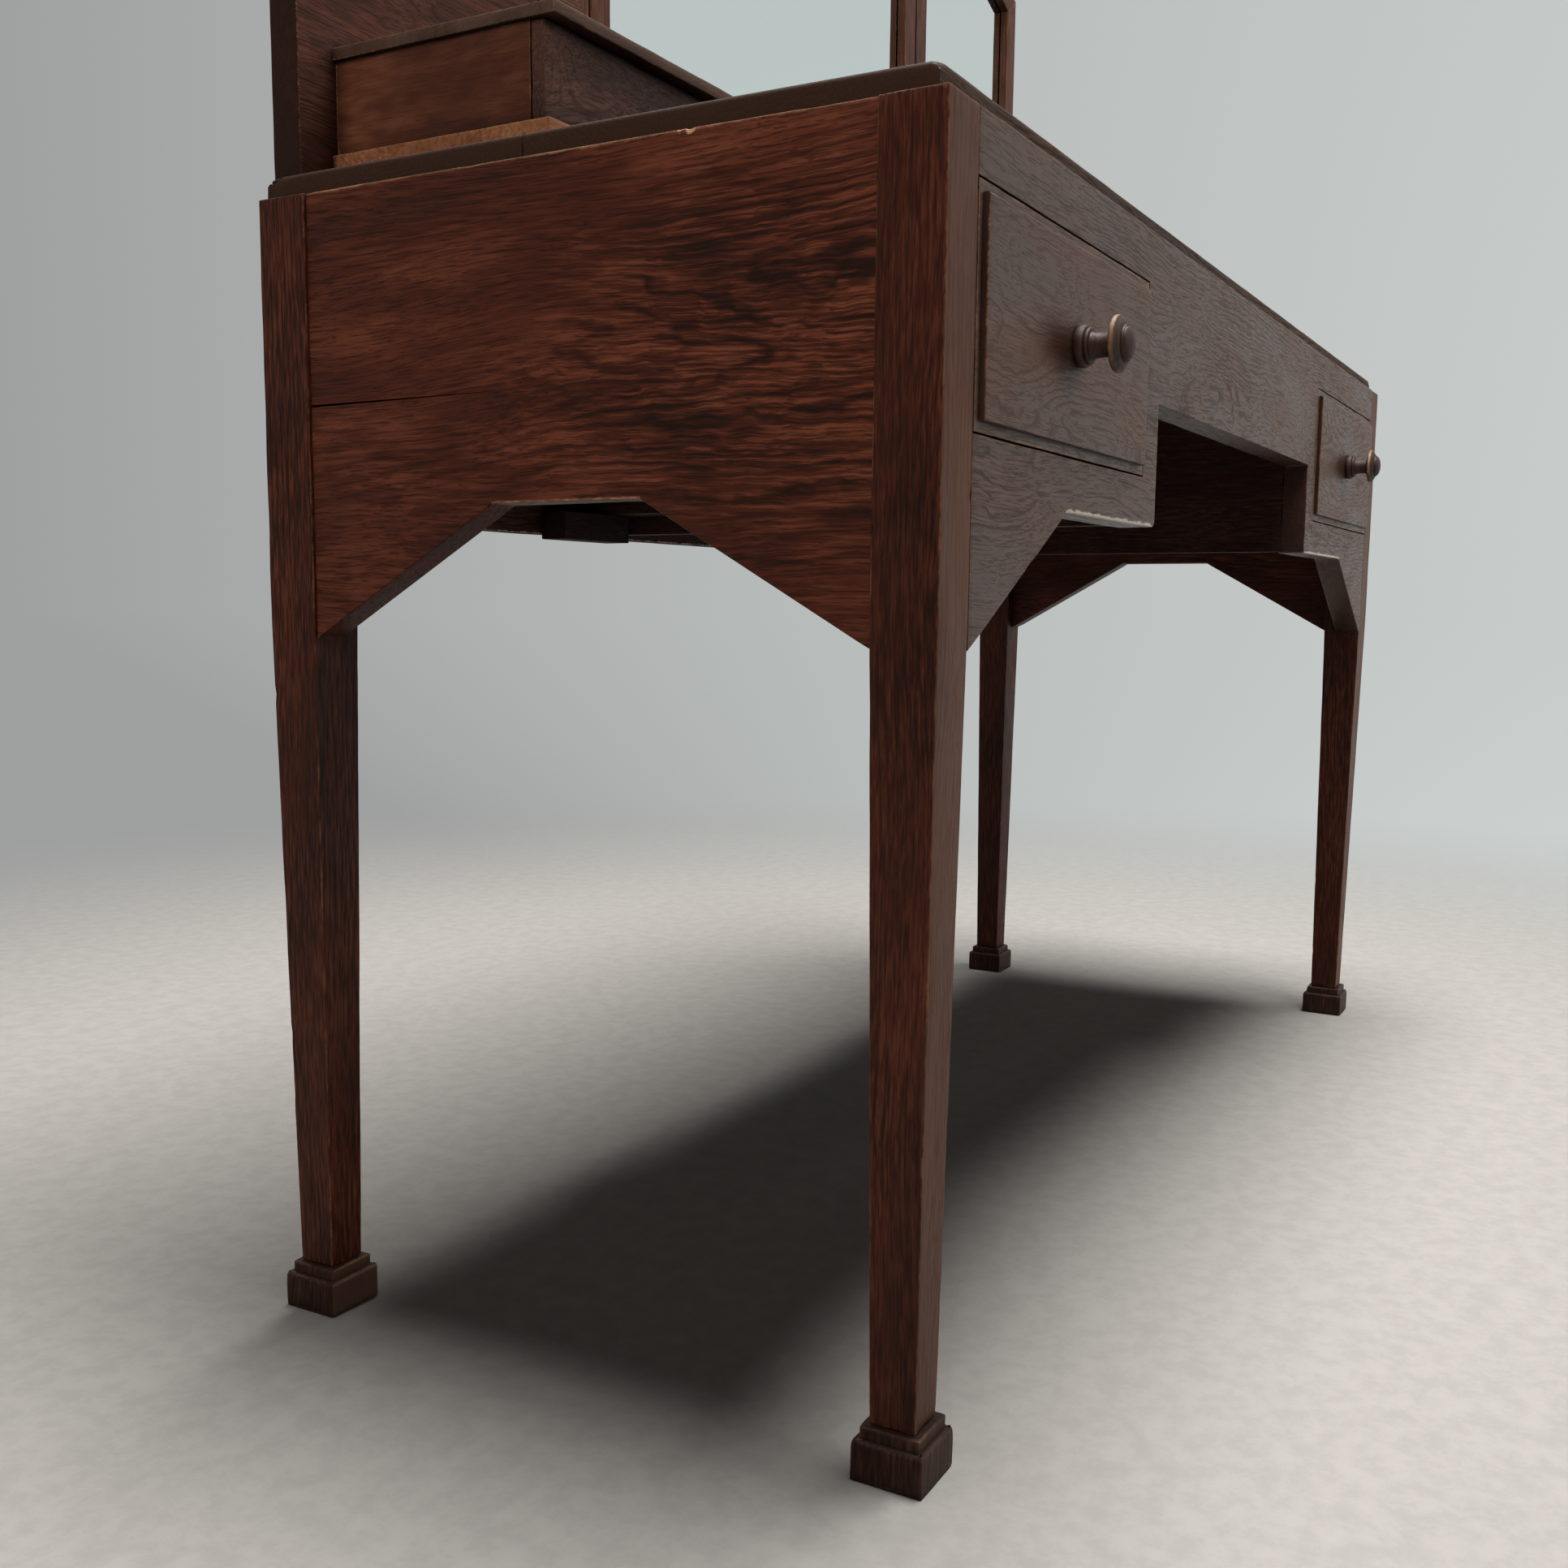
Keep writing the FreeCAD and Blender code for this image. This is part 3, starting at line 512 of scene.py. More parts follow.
# Several finishes below paint light and shade into their colour: a grey sheen on faces that look to the
# front, and shade in crevices and under overhangs.
PANEL_OAK = Oak("end_panel_oak", Grain.ALONG_Y,
                ((0.0115, 0.0033, 0.0018), (0.046, 0.0104, 0.0048), (0.11, 0.031, 0.0145)),
                line=(0.0075, 0.0028, 0.0018), ring_mm=4.2, fleck_mm=(38.0, 2.5), streak_share=0.27,
                line_share=0.82, rub_share=0.95, rub_floor=0.45, rub_reach_mm=1.9, shine=0.15)
LEG_OAK = replace(PANEL_OAK, slot="leg_oak", grain=Grain.ALONG_Z, heart_mm=(60.0, 70.0),
                  tones=((0.009, 0.0024, 0.0012), (0.034, 0.008, 0.0036), (0.066, 0.0185, 0.0085)),
                  ring_mm=2.6, sway_mm=9.0, ripple_mm=0.6, fleck_mm=(17.0, 2.0), streak_share=0.36,
                  ring_share=0.1, rub_share=0.35, rub_floor=0.1, rub_reach_mm=1.2,
                  film=(0.072, 0.032, 0.0185), film_share=0.85)
FOOT_OAK = replace(LEG_OAK, tones=((0.006, 0.0022, 0.0014), (0.0165, 0.0058, 0.0033),
                                   (0.038, 0.015, 0.0088)),
                   rubbed=(0.085, 0.043, 0.025), rub_reach_mm=2.2, rub_share=0.6, soil_mm=6.0,
                   film=(0.03, 0.015, 0.0095))
FRONT_OAK = replace(PANEL_OAK, slot="front_oak", grain=Grain.ALONG_X, heart_mm=(10.0, 120.0),
                    tones=((0.02, 0.008, 0.0048), (0.046, 0.02, 0.0124), (0.078, 0.038, 0.0245)),
                    line=(0.012, 0.0056, 0.0038), bare=(0.34, 0.29, 0.225), film=(0.075, 0.05, 0.038),
                    ring_mm=2.3, fleck_mm=(20.0, 3.2), streak_share=0.3, ring_share=0.14, line_share=0.95,
                    film_share=0.3, soil_mm=7.0, roughness=0.38, shine=0.2, rub_share=0.45, rub_floor=0.1,
                    rub_reach_mm=1.2)
TOP_OAK = replace(PANEL_OAK, slot="top_oak", grain=Grain.FLAT_X, heart_mm=(0.0, 110.0),
                  tones=((0.0202, 0.0095, 0.0056), (0.0317, 0.0158, 0.0097), (0.0562, 0.031, 0.0194)),
                  ring_mm=2.8, roughness=0.6, shine=0.12, rub_share=0.2, rub_floor=0.1, rub_reach_mm=1.2,
                  end_share=0.9, relief=0.2)
# The cases' painted shade reaches far, for the shade under their lids.
CASE_OAK = replace(PANEL_OAK, slot="case_oak",
                   tones=((0.013, 0.004, 0.0021), (0.049, 0.0148, 0.0072), (0.108, 0.0382, 0.0187)),
                   ring_mm=2.8, fleck_mm=(20.0, 7.0), streak_share=0.13, ring_share=0.03, line_share=0.25,
                   rub_share=0.3, rub_floor=0.1, rub_reach_mm=1.0, ripple_mm=1.0, soil_mm=14.0)
CASE_FRONT_OAK = replace(CASE_OAK, grain=Grain.ALONG_X, sway_mm=90.0, fleck_mm=(22.0, 3.0),
                         tones=((0.0104, 0.0042, 0.0028), (0.031, 0.0125, 0.0084), (0.068, 0.03, 0.0205)),
                         streak_share=0.22, line_share=0.6, end_share=0.1)
GALLERY_OAK = replace(CASE_FRONT_OAK, end_share=0.85, sway_mm=30.0, line_share=0.7, shine=0.1,
                      tones=((0.011, 0.0042, 0.0026), (0.031, 0.0098, 0.0052), (0.062, 0.021, 0.0125)))
LID_OAK = replace(CASE_OAK, grain=Grain.FLAT_X, rub_share=0.6, end_share=0.1, shine=0.15,
                  tones=((0.0173, 0.0085, 0.0054), (0.0403, 0.0209, 0.0133), (0.0756, 0.0418, 0.0281)))
JEWEL_BASE_OAK = replace(CASE_OAK, slot="jewel_base_oak", grain=Grain.FLAT_X,
                         tones=((0.042, 0.015, 0.0066), (0.12, 0.044, 0.019), (0.21, 0.092, 0.043)),
                         fleck_mm=(18.0, 3.0), streak_share=0.2, line_share=0.15, soil_mm=5.0,
                         end_share=0.0, shine=0.12)
FRAME_OAK = replace(PANEL_OAK, slot="mirror_frame_oak", grain=Grain.ALONG_Z, ring_mm=2.2, sway_mm=8.0,
                    tones=((0.015, 0.0048, 0.0024), (0.044, 0.015, 0.0078), (0.08, 0.032, 0.018)),
                    ripple_mm=0.6, heart_mm=(40.0, 60.0), rub_share=0.3, rub_floor=0.1, rub_reach_mm=1.0,
                    line_share=0.5)
# The carcase's tones are darker than the front's: painted shade for the pieces that stand in shade inside
# the table.
CARCASE_OAK = replace(FRONT_OAK, slot="carcase_oak", roughness=0.66, film_share=0.0, shine=0.08,
                      tones=((0.013, 0.006, 0.005), (0.034, 0.0145, 0.011), (0.06, 0.028, 0.021)),
                      rub_share=0.3)
LINING_OAK = replace(CARCASE_OAK, slot="drawer_lining", grain=Grain.ALONG_Y, line=(0.07, 0.04, 0.02),
                     tones=((0.1, 0.058, 0.032), (0.215, 0.13, 0.072), (0.34, 0.225, 0.135)),
                     rubbed=(0.3, 0.2, 0.12), rub_share=0.2, line_share=0.5)
BACKING_PINE = replace(CARCASE_OAK, slot="backing_wood", grain=Grain.ALONG_Z, ring_mm=6.0,
                       tones=((0.045, 0.025, 0.014), (0.1, 0.058, 0.033), (0.17, 0.105, 0.062)),
                       line_share=0.35, line=(0.03, 0.016, 0.01), fleck_mm=(120.0, 5.0),
                       streak_share=0.12, patch_share=0.06)
KNOB_OAK = replace(FRONT_OAK, slot="knob_wood", grain=Grain.ALONG_Z, heart_mm=(25.0, 25.0), sway_mm=4.0,
                   tones=((0.0065, 0.0031, 0.0021), (0.019, 0.0082, 0.0053), (0.045, 0.02, 0.013)),
                   rubbed=(0.22, 0.125, 0.072), rub_share=0.85, rub_floor=0.3, rub_reach_mm=2.0,
                   roughness=0.52, relief=0.2, soil_mm=4.0, ripple_mm=0.4, line_share=0.4,
                   film_share=0.0, end_share=0.0, shine=0.3)


def level(place: float, *values: float) -> bool:
    """Whether all these values are at one place."""
    return all(abs(value - place) < CLOSE for value in values)


def within(span: Point, margin: float) -> Point:
    """A span that is smaller by a margin at both ends."""
    return span[0] + margin, span[1] - margin


def following(ring: Sequence) -> list[tuple]:
    """Each entry with the next one, and the last with the first."""
    return list(zip(ring, [*ring[1:], ring[0]]))


def hoop(centre: Corner, radius: float, reach: float, steps: int) -> list[Corner]:
    """Points of a circle round a line along Y, at some reach in front of its centre."""
    turns = [(math.cos(math.tau * i / steps), math.sin(math.tau * i / steps)) for i in range(steps)]
    return [(centre[0] + radius * a, centre[1] - reach, centre[2] + radius * b) for a, b in turns]


def inset(outline: Sequence[Point], margin: float) -> list[Point]:
    """Moves a convex outline inwards.

    Args:
        outline: Its corners, anticlockwise.
        margin: How far each side moves.

    Returns:
        The corners of the smaller outline.
    """
    corners = [complex(*corner) for corner in outline]
    runs = [end - start for start, end in following(corners)]
    starts = [corner + 1j * run / abs(run) * margin for corner, run in zip(corners, runs)]
    spots = []
    for i, run in enumerate(runs):
        gap = starts[i] - starts[i - 1]
        share = (gap.conjugate() * run).imag / (runs[i - 1].conjugate() * run).imag
        spots.append(starts[i - 1] + share * runs[i - 1])
    return [(spot.real, spot.imag) for spot in spots]


def arc(start: Point, via: Point, end: Point, steps: int) -> list[Point]:
    """Points on the circular arc through three points.

    Args:
        start: Where the arc starts.
        via: A point that it passes through.
        end: Where it ends.
        steps: How many runs it is divided into.

    Returns:
        The points after the start, the end among them.
    """
    a, b, c = complex(*start), complex(*via), complex(*end)
    lean = (c - a) / (b - a)
    centre = a + (b - a) * (lean - abs(lean) ** 2) / (2j * lean.imag)
    sweep = cmath.phase((c - centre) / (a - centre)) % math.tau
    if cmath.phase((b - centre) / (a - centre)) % math.tau > sweep:
        sweep -= math.tau
    spots = [centre + (a - centre) * cmath.exp(1j * sweep * (i + 1) / steps) for i in range(steps)]
    return [(spot.real, spot.imag) for spot in spots]


def middle_of(piece: bpy.types.Object) -> Vector:
    """The middle of a piece's box, in its own coordinates."""
    return sum((Vector(corner) for corner in piece.bound_box), Vector()) / len(piece.bound_box)


def distance_to(place: Vector, ends: Line) -> float:
    """The distance from a place to the straight line between two ends."""
    nearest, share = intersect_point_line(place, *ends)
    return (place - (nearest if 0.0 <= share <= 1.0 else ends[share > 1.0])).length


class Workpiece:
    """One piece on the bench: formed, eased, divided into small faces, worn, and fitted."""

    def __init__(self, side: Side = Side.RIGHT) -> None:
        """Starts an empty piece.

        Args:
            side: The end that it is for; it is drawn for the right one and mirrored for the left.
        """
        self.form = bmesh.new()
        self.side = side
        self.arrises: list[Line] = []
        self.chips: list[tuple[Vector, float, float]] = []
        self.scraped: list[tuple[Vector, Vector, float]] = []

    def loft(self, rings: Sequence[Sequence[Corner]], tip: Corner | None = None) -> None:
        """Adds a solid through rings of corners, closed at both ends.

        Args:
            rings: The rings, all with as many corners.
            tip: The point at which the last end closes, in place of a flat face.
        """
        rows = [[self.form.verts.new(corner) for corner in ring] for ring in rings]
        for low, high in zip(rows, rows[1:]):
            for (a, b), (c, d) in zip(following(low), following(high)):
                self.form.faces.new((a, b, d, c))
        self.form.faces.new(rows[0])
        if tip is None:
            self.form.faces.new(rows[-1])
            return
        point = self.form.verts.new(tip)
        for ends in following(rows[-1]):
            self.form.faces.new((*ends, point))

    def prism(self, outline: Sequence[Point], axis: Axis, low: float, high: float) -> None:
        """Adds an outline, in the plane across an axis, drawn out along that axis."""
        self.loft([[axis.place(a, b, height) for a, b in outline] for height in (low, high)])

    def box(self, x: Point, y: Point, z: Point) -> None:
        """Adds a box between a low and a high value on each axis."""
        self.prism([(x[0], y[0]), (x[1], y[0]), (x[1], y[1]), (x[0], y[1])], Axis.Z, *z)

    def screw(self, seat: Vector, out: Vector, radius: float, rise: float, turn: float) -> None:
        """Adds a domed screw head with a cut slot.

        Args:
            seat: The middle of its seat.
            out: The direction it looks in.
            radius: The head's radius.
            rise: How far its middle stands proud.
            turn: The slot's direction, in radians.
        """
        across = Matrix.Rotation(turn, 3, out) @ out.orthogonal().normalized()
        along = out.cross(across)
        slot_share = 0.14
        start = math.asin(slot_share)
        rim = [start + (math.pi - 2 * start) * i / 7 for i in range(8)]
        for sign in (-1, 1):
            self.loft([[seat + across * (math.cos(angle) * radius * shrink) + out * (rise * lift)
                        + along * (sign * radius * max(math.sin(angle) * shrink, slot_share))
                        for angle in rim]
                       for shrink, lift in ((1.0, -0.3), (1.0, 0.15), (0.8, 0.65), (0.5, 0.9))])

    def ease(self, width: float, segments: int = 2,
             chosen: Callable[[Vector, Vector], bool] = lambda a, b: True) -> None:
        """Rounds the sharp edges and remembers them as arrises that wear.

        Args:
            width: How wide the rounding is.
            segments: Faces across it.
            chosen: Says from an edge's two ends whether it is rounded.
        """
        bmesh.ops.recalc_face_normals(self.form, faces=self.form.faces)
        edges = [edge for edge in self.form.edges if edge.calc_face_angle(0) > SHARP_ANGLE
                 and chosen(*(vertex.co for vertex in edge.verts))]
        self.arrises += [tuple(vertex.co.copy() for vertex in edge.verts) for edge in edges]
        bmesh.ops.bevel(self.form, geom=edges, offset=width, segments=segments, profile=0.5,
                        affect="EDGES", clamp_overlap=False)

    def slice(self, parts: list, axis: int, height: float, snap: float) -> None:
        """Divides some parts of the form by a plane across an axis."""
        normal = Vector([float(i == axis) for i in range(3)])
        bmesh.ops.bisect_plane(self.form, geom=parts, plane_co=normal * height, plane_no=normal, dist=snap)

    def divide(self, cell: float | Corner) -> None:
        """Divides every face by planes across each axis.

        Args:
            cell: The distance between the planes, on each axis if it varies; zero means no planes.
        """
        for axis, step in enumerate(cell if isinstance(cell, tuple) else (cell, cell, cell)):
            if step:
                values = [vertex.co[axis] for vertex in self.form.verts]
                for i in range(math.ceil(min(values) / step), math.floor(max(values) / step) + 1):
                    parts = [*self.form.verts, *self.form.edges, *self.form.faces]
                    self.slice(parts, axis, i * step, 0.05 * MM)

    def chip(self, place: Corner, radius: float, sink: float) -> None:
        """Marks a chip and divides the faces finely round it.

        Args:
            place: The middle of the chip, on an arris.
            radius: How far it reaches.
            sink: How deep it is.
        """
        middle = Vector(place)
        self.chips.append((middle, radius, sink))
        for axis, share in product(range(3), (-1.0, -0.6, -0.3, 0.0, 0.3, 0.6, 1.0)):
            near = [face for face in self.form.faces
                    if (face.calc_center_median() - middle).length < radius + CHIP_MARGIN]
            edges = {edge for face in near for edge in face.edges}
            points = {vertex for face in near for vertex in face.verts}
            self.slice([*points, *edges, *near], axis, middle[axis] + share * radius, 0.02 * MM)

    def scrape(self, reach: float, chosen: Callable[[Vector, Vector], bool]) -> None:
        """Marks as bare the wood within reach of chosen arrises."""
        self.scraped += [(a, b, reach) for a, b in self.arrises if chosen(a, b)]

    def distances(self, lines: Sequence[Line]) -> np.ndarray:
        """Measures how far each vertex lies from the nearest of some lines.

        Args:
            lines: The two ends of each line.

        Returns:
            The distances, at most the arris reach.
        """
        points = np.array([vertex.co for vertex in self.form.verts], float).reshape(-1, 3)
        nearest = np.full(len(points), ARRIS_REACH_MM * MM)
        for start, end in lines:
            base, run = np.array(start), np.array(end - start)
            share = np.clip((points - base) @ run / max(run @ run, MM * MM), 0, 1)
            nearest = np.minimum(nearest, np.linalg.norm(points - base - share[:, None] * run, axis=1))
        return nearest

    def bareness(self) -> np.ndarray:
        """Measures how far each vertex lies inside bare wood.

        Returns:
            The distances, below zero outside it.
        """
        bare = np.full(len(self.form.verts), -ARRIS_REACH_MM * MM)
        for start, end, reach in self.scraped:
            bare = np.maximum(bare, reach - self.distances([(start, end)]))
        for place, radius, _ in self.chips:
            away = np.array([(vertex.co - place).length for vertex in self.form.verts])
            bare = np.maximum(bare, radius * 0.85 - away)
        return bare

    def wear(self, depth: float, seed: int, dents: int = 0, wave: float = 0.035) -> None:
        """Rubs the arrises back unevenly and knocks small dents into them.

        Args:
            depth: The most that rubbing takes off.
            seed: Settles where it is worn.
            dents: How many dents there are.
            wave: The usual length of a worn stretch.
        """
        draw = random.Random(seed)
        offset = Vector([draw.uniform(-50, 50) for _ in range(3)])
        knocks = []
        for _ in range(dents):
            start, end = draw.choice(self.arrises)
            place = start.lerp(end, draw.uniform(0.03, 0.97))
            radius, sink = (draw.uniform(*span) * MM for span in (DENT_RADIUS_MM, DENT_DEPTH_MM))
            knocks.append((place, radius, sink))
        self.form.normal_update()
        moves = []
        for vertex, away in zip(self.form.verts, self.distances(self.arrises)):
            near = max(0.0, 1 - away / RUBBED_REACH)
            move = near * depth * (0.5 + 0.5 * noise.noise(vertex.co / wave + offset)) ** 2 * 2
            move += near * depth * 0.4 * abs(noise.noise(vertex.co / (wave * 0.2) + offset))
            for place, radius, sink in knocks + self.chips:
                gap = (vertex.co - place).length
                if gap < radius:
                    move += sink * (1 - gap / radius) ** 2
            moves.append(move)
        for vertex, move in zip(self.form.verts, moves):
            vertex.co -= vertex.normal * move

    def make(self, name: str) -> bpy.types.Object:
        """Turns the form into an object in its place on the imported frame.

        Args:
            name: The piece's name.

        Returns:
            The object. Its attributes "arris" and "bare" hold millimetres: 12 on an arris or at
            the edge of bare wood, less outside it, and more within bare wood.
        """
        bmesh.ops.recalc_face_normals(self.form, faces=self.form.faces)
        reaches = {"arris": -self.distances(self.arrises) / MM}
        if self.scraped or self.chips:
            reaches["bare"] = self.bareness() / MM
        if self.side is Side.LEFT:
            bmesh.ops.scale(self.form, vec=(-1, 1, 1), verts=self.form.verts)
            bmesh.ops.reverse_faces(self.form, faces=self.form.faces)
        bmesh.ops.translate(self.form, vec=FRAME_SHIFT, verts=self.form.verts)
        mesh = bpy.data.meshes.new(name)
        self.form.to_mesh(mesh)
        self.form.free()
        for word, reach in reaches.items():
            nearness = mesh.attributes.new(word, "FLOAT", "POINT")
            nearness.data.foreach_set("value", (ARRIS_REACH_MM + reach).astype(np.float32))
        mesh.shade_smooth()
        mesh.set_sharp_from_angle(angle=SMOOTH_ANGLE)
        piece = bpy.data.objects.new(name, mesh)
        bpy.context.scene.collection.objects.link(piece)
        piece.modifiers.new("even_shading", "WEIGHTED_NORMAL").keep_sharp = True
        return piece

    def fit(self, finish: Finish, node: str, body: str = "root", name: str = "",
            figure: tuple[str, Vector] | None = None) -> bpy.types.Object:
        """Makes and finishes the piece and hangs it on its body in place of its node.

        Args:
            finish: Its finish.
            node: The node that it stands for, or nothing.
            body: The body that it rides on.
            name: Its name, where that isn't oak_ and the node's.
            figure: The name and the middle that settle its figure, where they aren't its own.

        Returns:
            The piece.
        """
        piece = self.make(name or "oak_" + node)
        piece.data.materials.append(finish.dress(*(figure or (piece.name, middle_of(piece)))))
        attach(piece, body)
        if node:
            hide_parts(node)
        LOG.info("%s: %d faces on body %s", piece.name, len(piece.data.polygons), body)
        return piece


def refinish(node: str, finish: Finish, easing: float = 0.4 * MM) -> None:
    """Eases and finishes a node that stays as it was packed.

    Args:
        node: The node's name.
        finish: Its finish.
        easing: How wide its arrises are rounded.
    """
    piece = bpy.data.objects[node]
    piece.data.materials.clear()
    piece.data.materials.append(finish.dress(node, middle_of(piece)))
    piece.modifiers.new("weld", "WELD").merge_threshold = 0.01 * MM
    bevel = piece.modifiers.new("easing", "BEVEL")
    bevel.width = easing
    bevel.segments = 2
    bevel.limit_method = "ANGLE"
    bevel.angle_limit = SHARP_ANGLE
    bevel.harden_normals = True
    LOG.info("%s: kept from the frame", node)


@dataclass
class TablePart:
    """Sizes that the sub-assemblies share."""

    half_length: float = 1.219 / 2
    half_depth: float = 0.459 / 2
    leg_height: float = 0.711
    leg_width: float = 0.038
    top_height: float = 0.725
    knee_half: float = 0.2475
    stile_width: float = 0.0315
    rail_width: float = 0.033
    opening_height: float = 0.125
    gallery_end_inset: float = 0.0135
    gallery_thickness: float = 0.023
    gallery_height: float = 0.177
    easing: float = 0.8 * MM

    def __post_init__(self) -> None:
        """Works out the places that follow from these sizes."""
        self.leg_x = self.half_length - self.leg_width
        self.leg_y = self.half_depth - self.leg_width
        self.gallery_outer = self.half_length - self.gallery_end_inset
        self.gallery_face = self.half_depth - self.gallery_thickness
        self.gallery_top = self.top_height + self.gallery_height


@dataclass
class LegsAndFeet(TablePart):
    """Four square tapered legs on two-step block feet."""

    parallel_length: float = 0.256
    toe_width: float = 0.0275
    foot_height: float = 0.0305
    block_width: float = 0.0425
    block_height: float = 0.0235
    collar_width: float = 0.036
    foot_easing: float = 1.0 * MM
    foot_round: float = 2.6 * MM
    cell: float = 6 * MM

    def rings(self, depth: Depth, *sizes: Point) -> list[list[Corner]]:
        """Square rings round a leg's middle line, each of a width and at a height.

        Args:
            depth: The front or the back.
            sizes: Each ring's width and height.

        Returns:
            The rings.
        """
        x = self.half_length - self.leg_width / 2
        y = depth.value * (self.half_depth - self.leg_width / 2)
        return [[(x + a * width / 2, y + b * width / 2, z)
                 for a, b in ((-1, -1), (1, -1), (1, 1), (-1, 1))] for width, z in sizes]

    def build(self) -> None:
        """Makes the legs, tapered on all four faces, and the feet, each a block with a collar."""
        taper = (self.leg_width, self.leg_height - self.parallel_length)
        collar_base = self.block_height - 0.5 * MM
        for side, depth in product(Side, Depth):
            place = f"{depth.word}_{side.word}"
            leg = Workpiece(side)
            leg.loft(self.rings(depth, (self.toe_width, self.foot_height), taper,
                                (self.leg_width, self.leg_height)))
            leg.ease(self.easing)
            leg.divide((self.cell * 1.7, self.cell * 1.7, self.cell))
            leg.wear(0.35 * MM, seed_of("leg_" + place), dents=16)
            # Only the front legs get the painted sheen; the back legs, in the table's shade, get none.
            film_share = LEG_OAK.film_share if depth is Depth.FRONT else 0.0
            leg.fit(replace(LEG_OAK, film_share=film_share), "leg_" + place)
            foot = Workpiece(side)
            foot.loft(self.rings(depth, (self.block_width, 0.0), (self.block_width, self.block_height)))
            foot.loft(self.rings(depth, (self.collar_width, collar_base),
                                 (self.collar_width, self.foot_height)))
            foot.ease(self.foot_easing, 2, lambda a, b: abs(a.z - b.z) > MM or max(a.z, b.z) < MM)
            foot.ease(self.foot_round, 4, lambda a, b: level(self.block_height, a.z, b.z))
            foot.ease(self.foot_round / 2, 3, lambda a, b: level(self.foot_height, a.z, b.z))
            foot.divide((self.cell, self.cell, self.cell / 2))
            foot.wear(0.5 * MM, seed_of("foot_" + place), dents=9, wave=0.015)
            foot.fit(FOOT_OAK, "foot_" + place)


@dataclass
class EndPanels(TablePart):
    """Two end panels, each of two boards glued edge to edge, with an arch cut in the lower one.

    Each chip on the upper board has its place along Y, its reach and its depth.
    """

    thickness: float = 0.022
    recess: float = 2 * MM
    upper_width: float = 0.125
    end_width: float = 0.267
    crown_width: float = 0.188
    crown_half: float = 0.051
    crack_width: float = 1.5 * MM
    crack_length: float = 0.165
    chips: tuple[Corner, ...] = ((-0.083, 3.8 * MM, 1.2 * MM), (-0.077, 2.2 * MM, 0.5 * MM))
    wild_mm: Spot = (-125.0, 10.0, 155.0, 100.0)
    cell: float = 8 * MM

    def build(self) -> None:
        """Makes the boards of both panels; the left one has an open glue line at the back."""
        y, top = self.leg_y, self.leg_height
        joint, low, crown = (top - width for width in (self.upper_width, self.end_width, self.crown_width))
        outer = self.half_length - self.recess
        upper = [(-y, joint), (y, joint), (y, top), (-y, top)]
        arch = [(-y, low), (-self.crown_half, crown), (self.crown_half, crown), (y, low)]
        backs = {Side.LEFT: [(y, joint - self.crack_width), (y - self.crack_length, joint)],
                 Side.RIGHT: [(y, joint)]}
        for side, word in product(Side, ("upper", "lower")):
            node = f"end_panel_{side.word}_{word}"
            outline = upper if word == "upper" else [*arch, *backs[side], (-y, joint)]
            board = Workpiece(side)
            board.prism(outline, Axis.X, outer - self.thickness, outer)
            board.ease(self.easing, 2, lambda a, b: not abs(a.z - joint) < 2 * MM > abs(b.z - joint))
            board.arrises = [(a, b) for a, b in board.arrises if level(a.z, b.z)]
            board.scrape(0.4 * MM, lambda a, b: level(crown, a.z) and min(a.x, b.x) > outer - MM)
            board.divide(self.cell)
            if word == "upper":
                for place, radius, sink in self.chips:
                    board.chip((outer, place, top), radius, sink)
            board.wear(0.4 * MM, seed_of(node), dents=10)
            middle = Vector((side.value * outer, FRAME_SHIFT.y, joint))
            board.fit(replace(PANEL_OAK, wild_mm=self.wild_mm), node,
                      figure=(f"end_panel_{side.word}", middle))


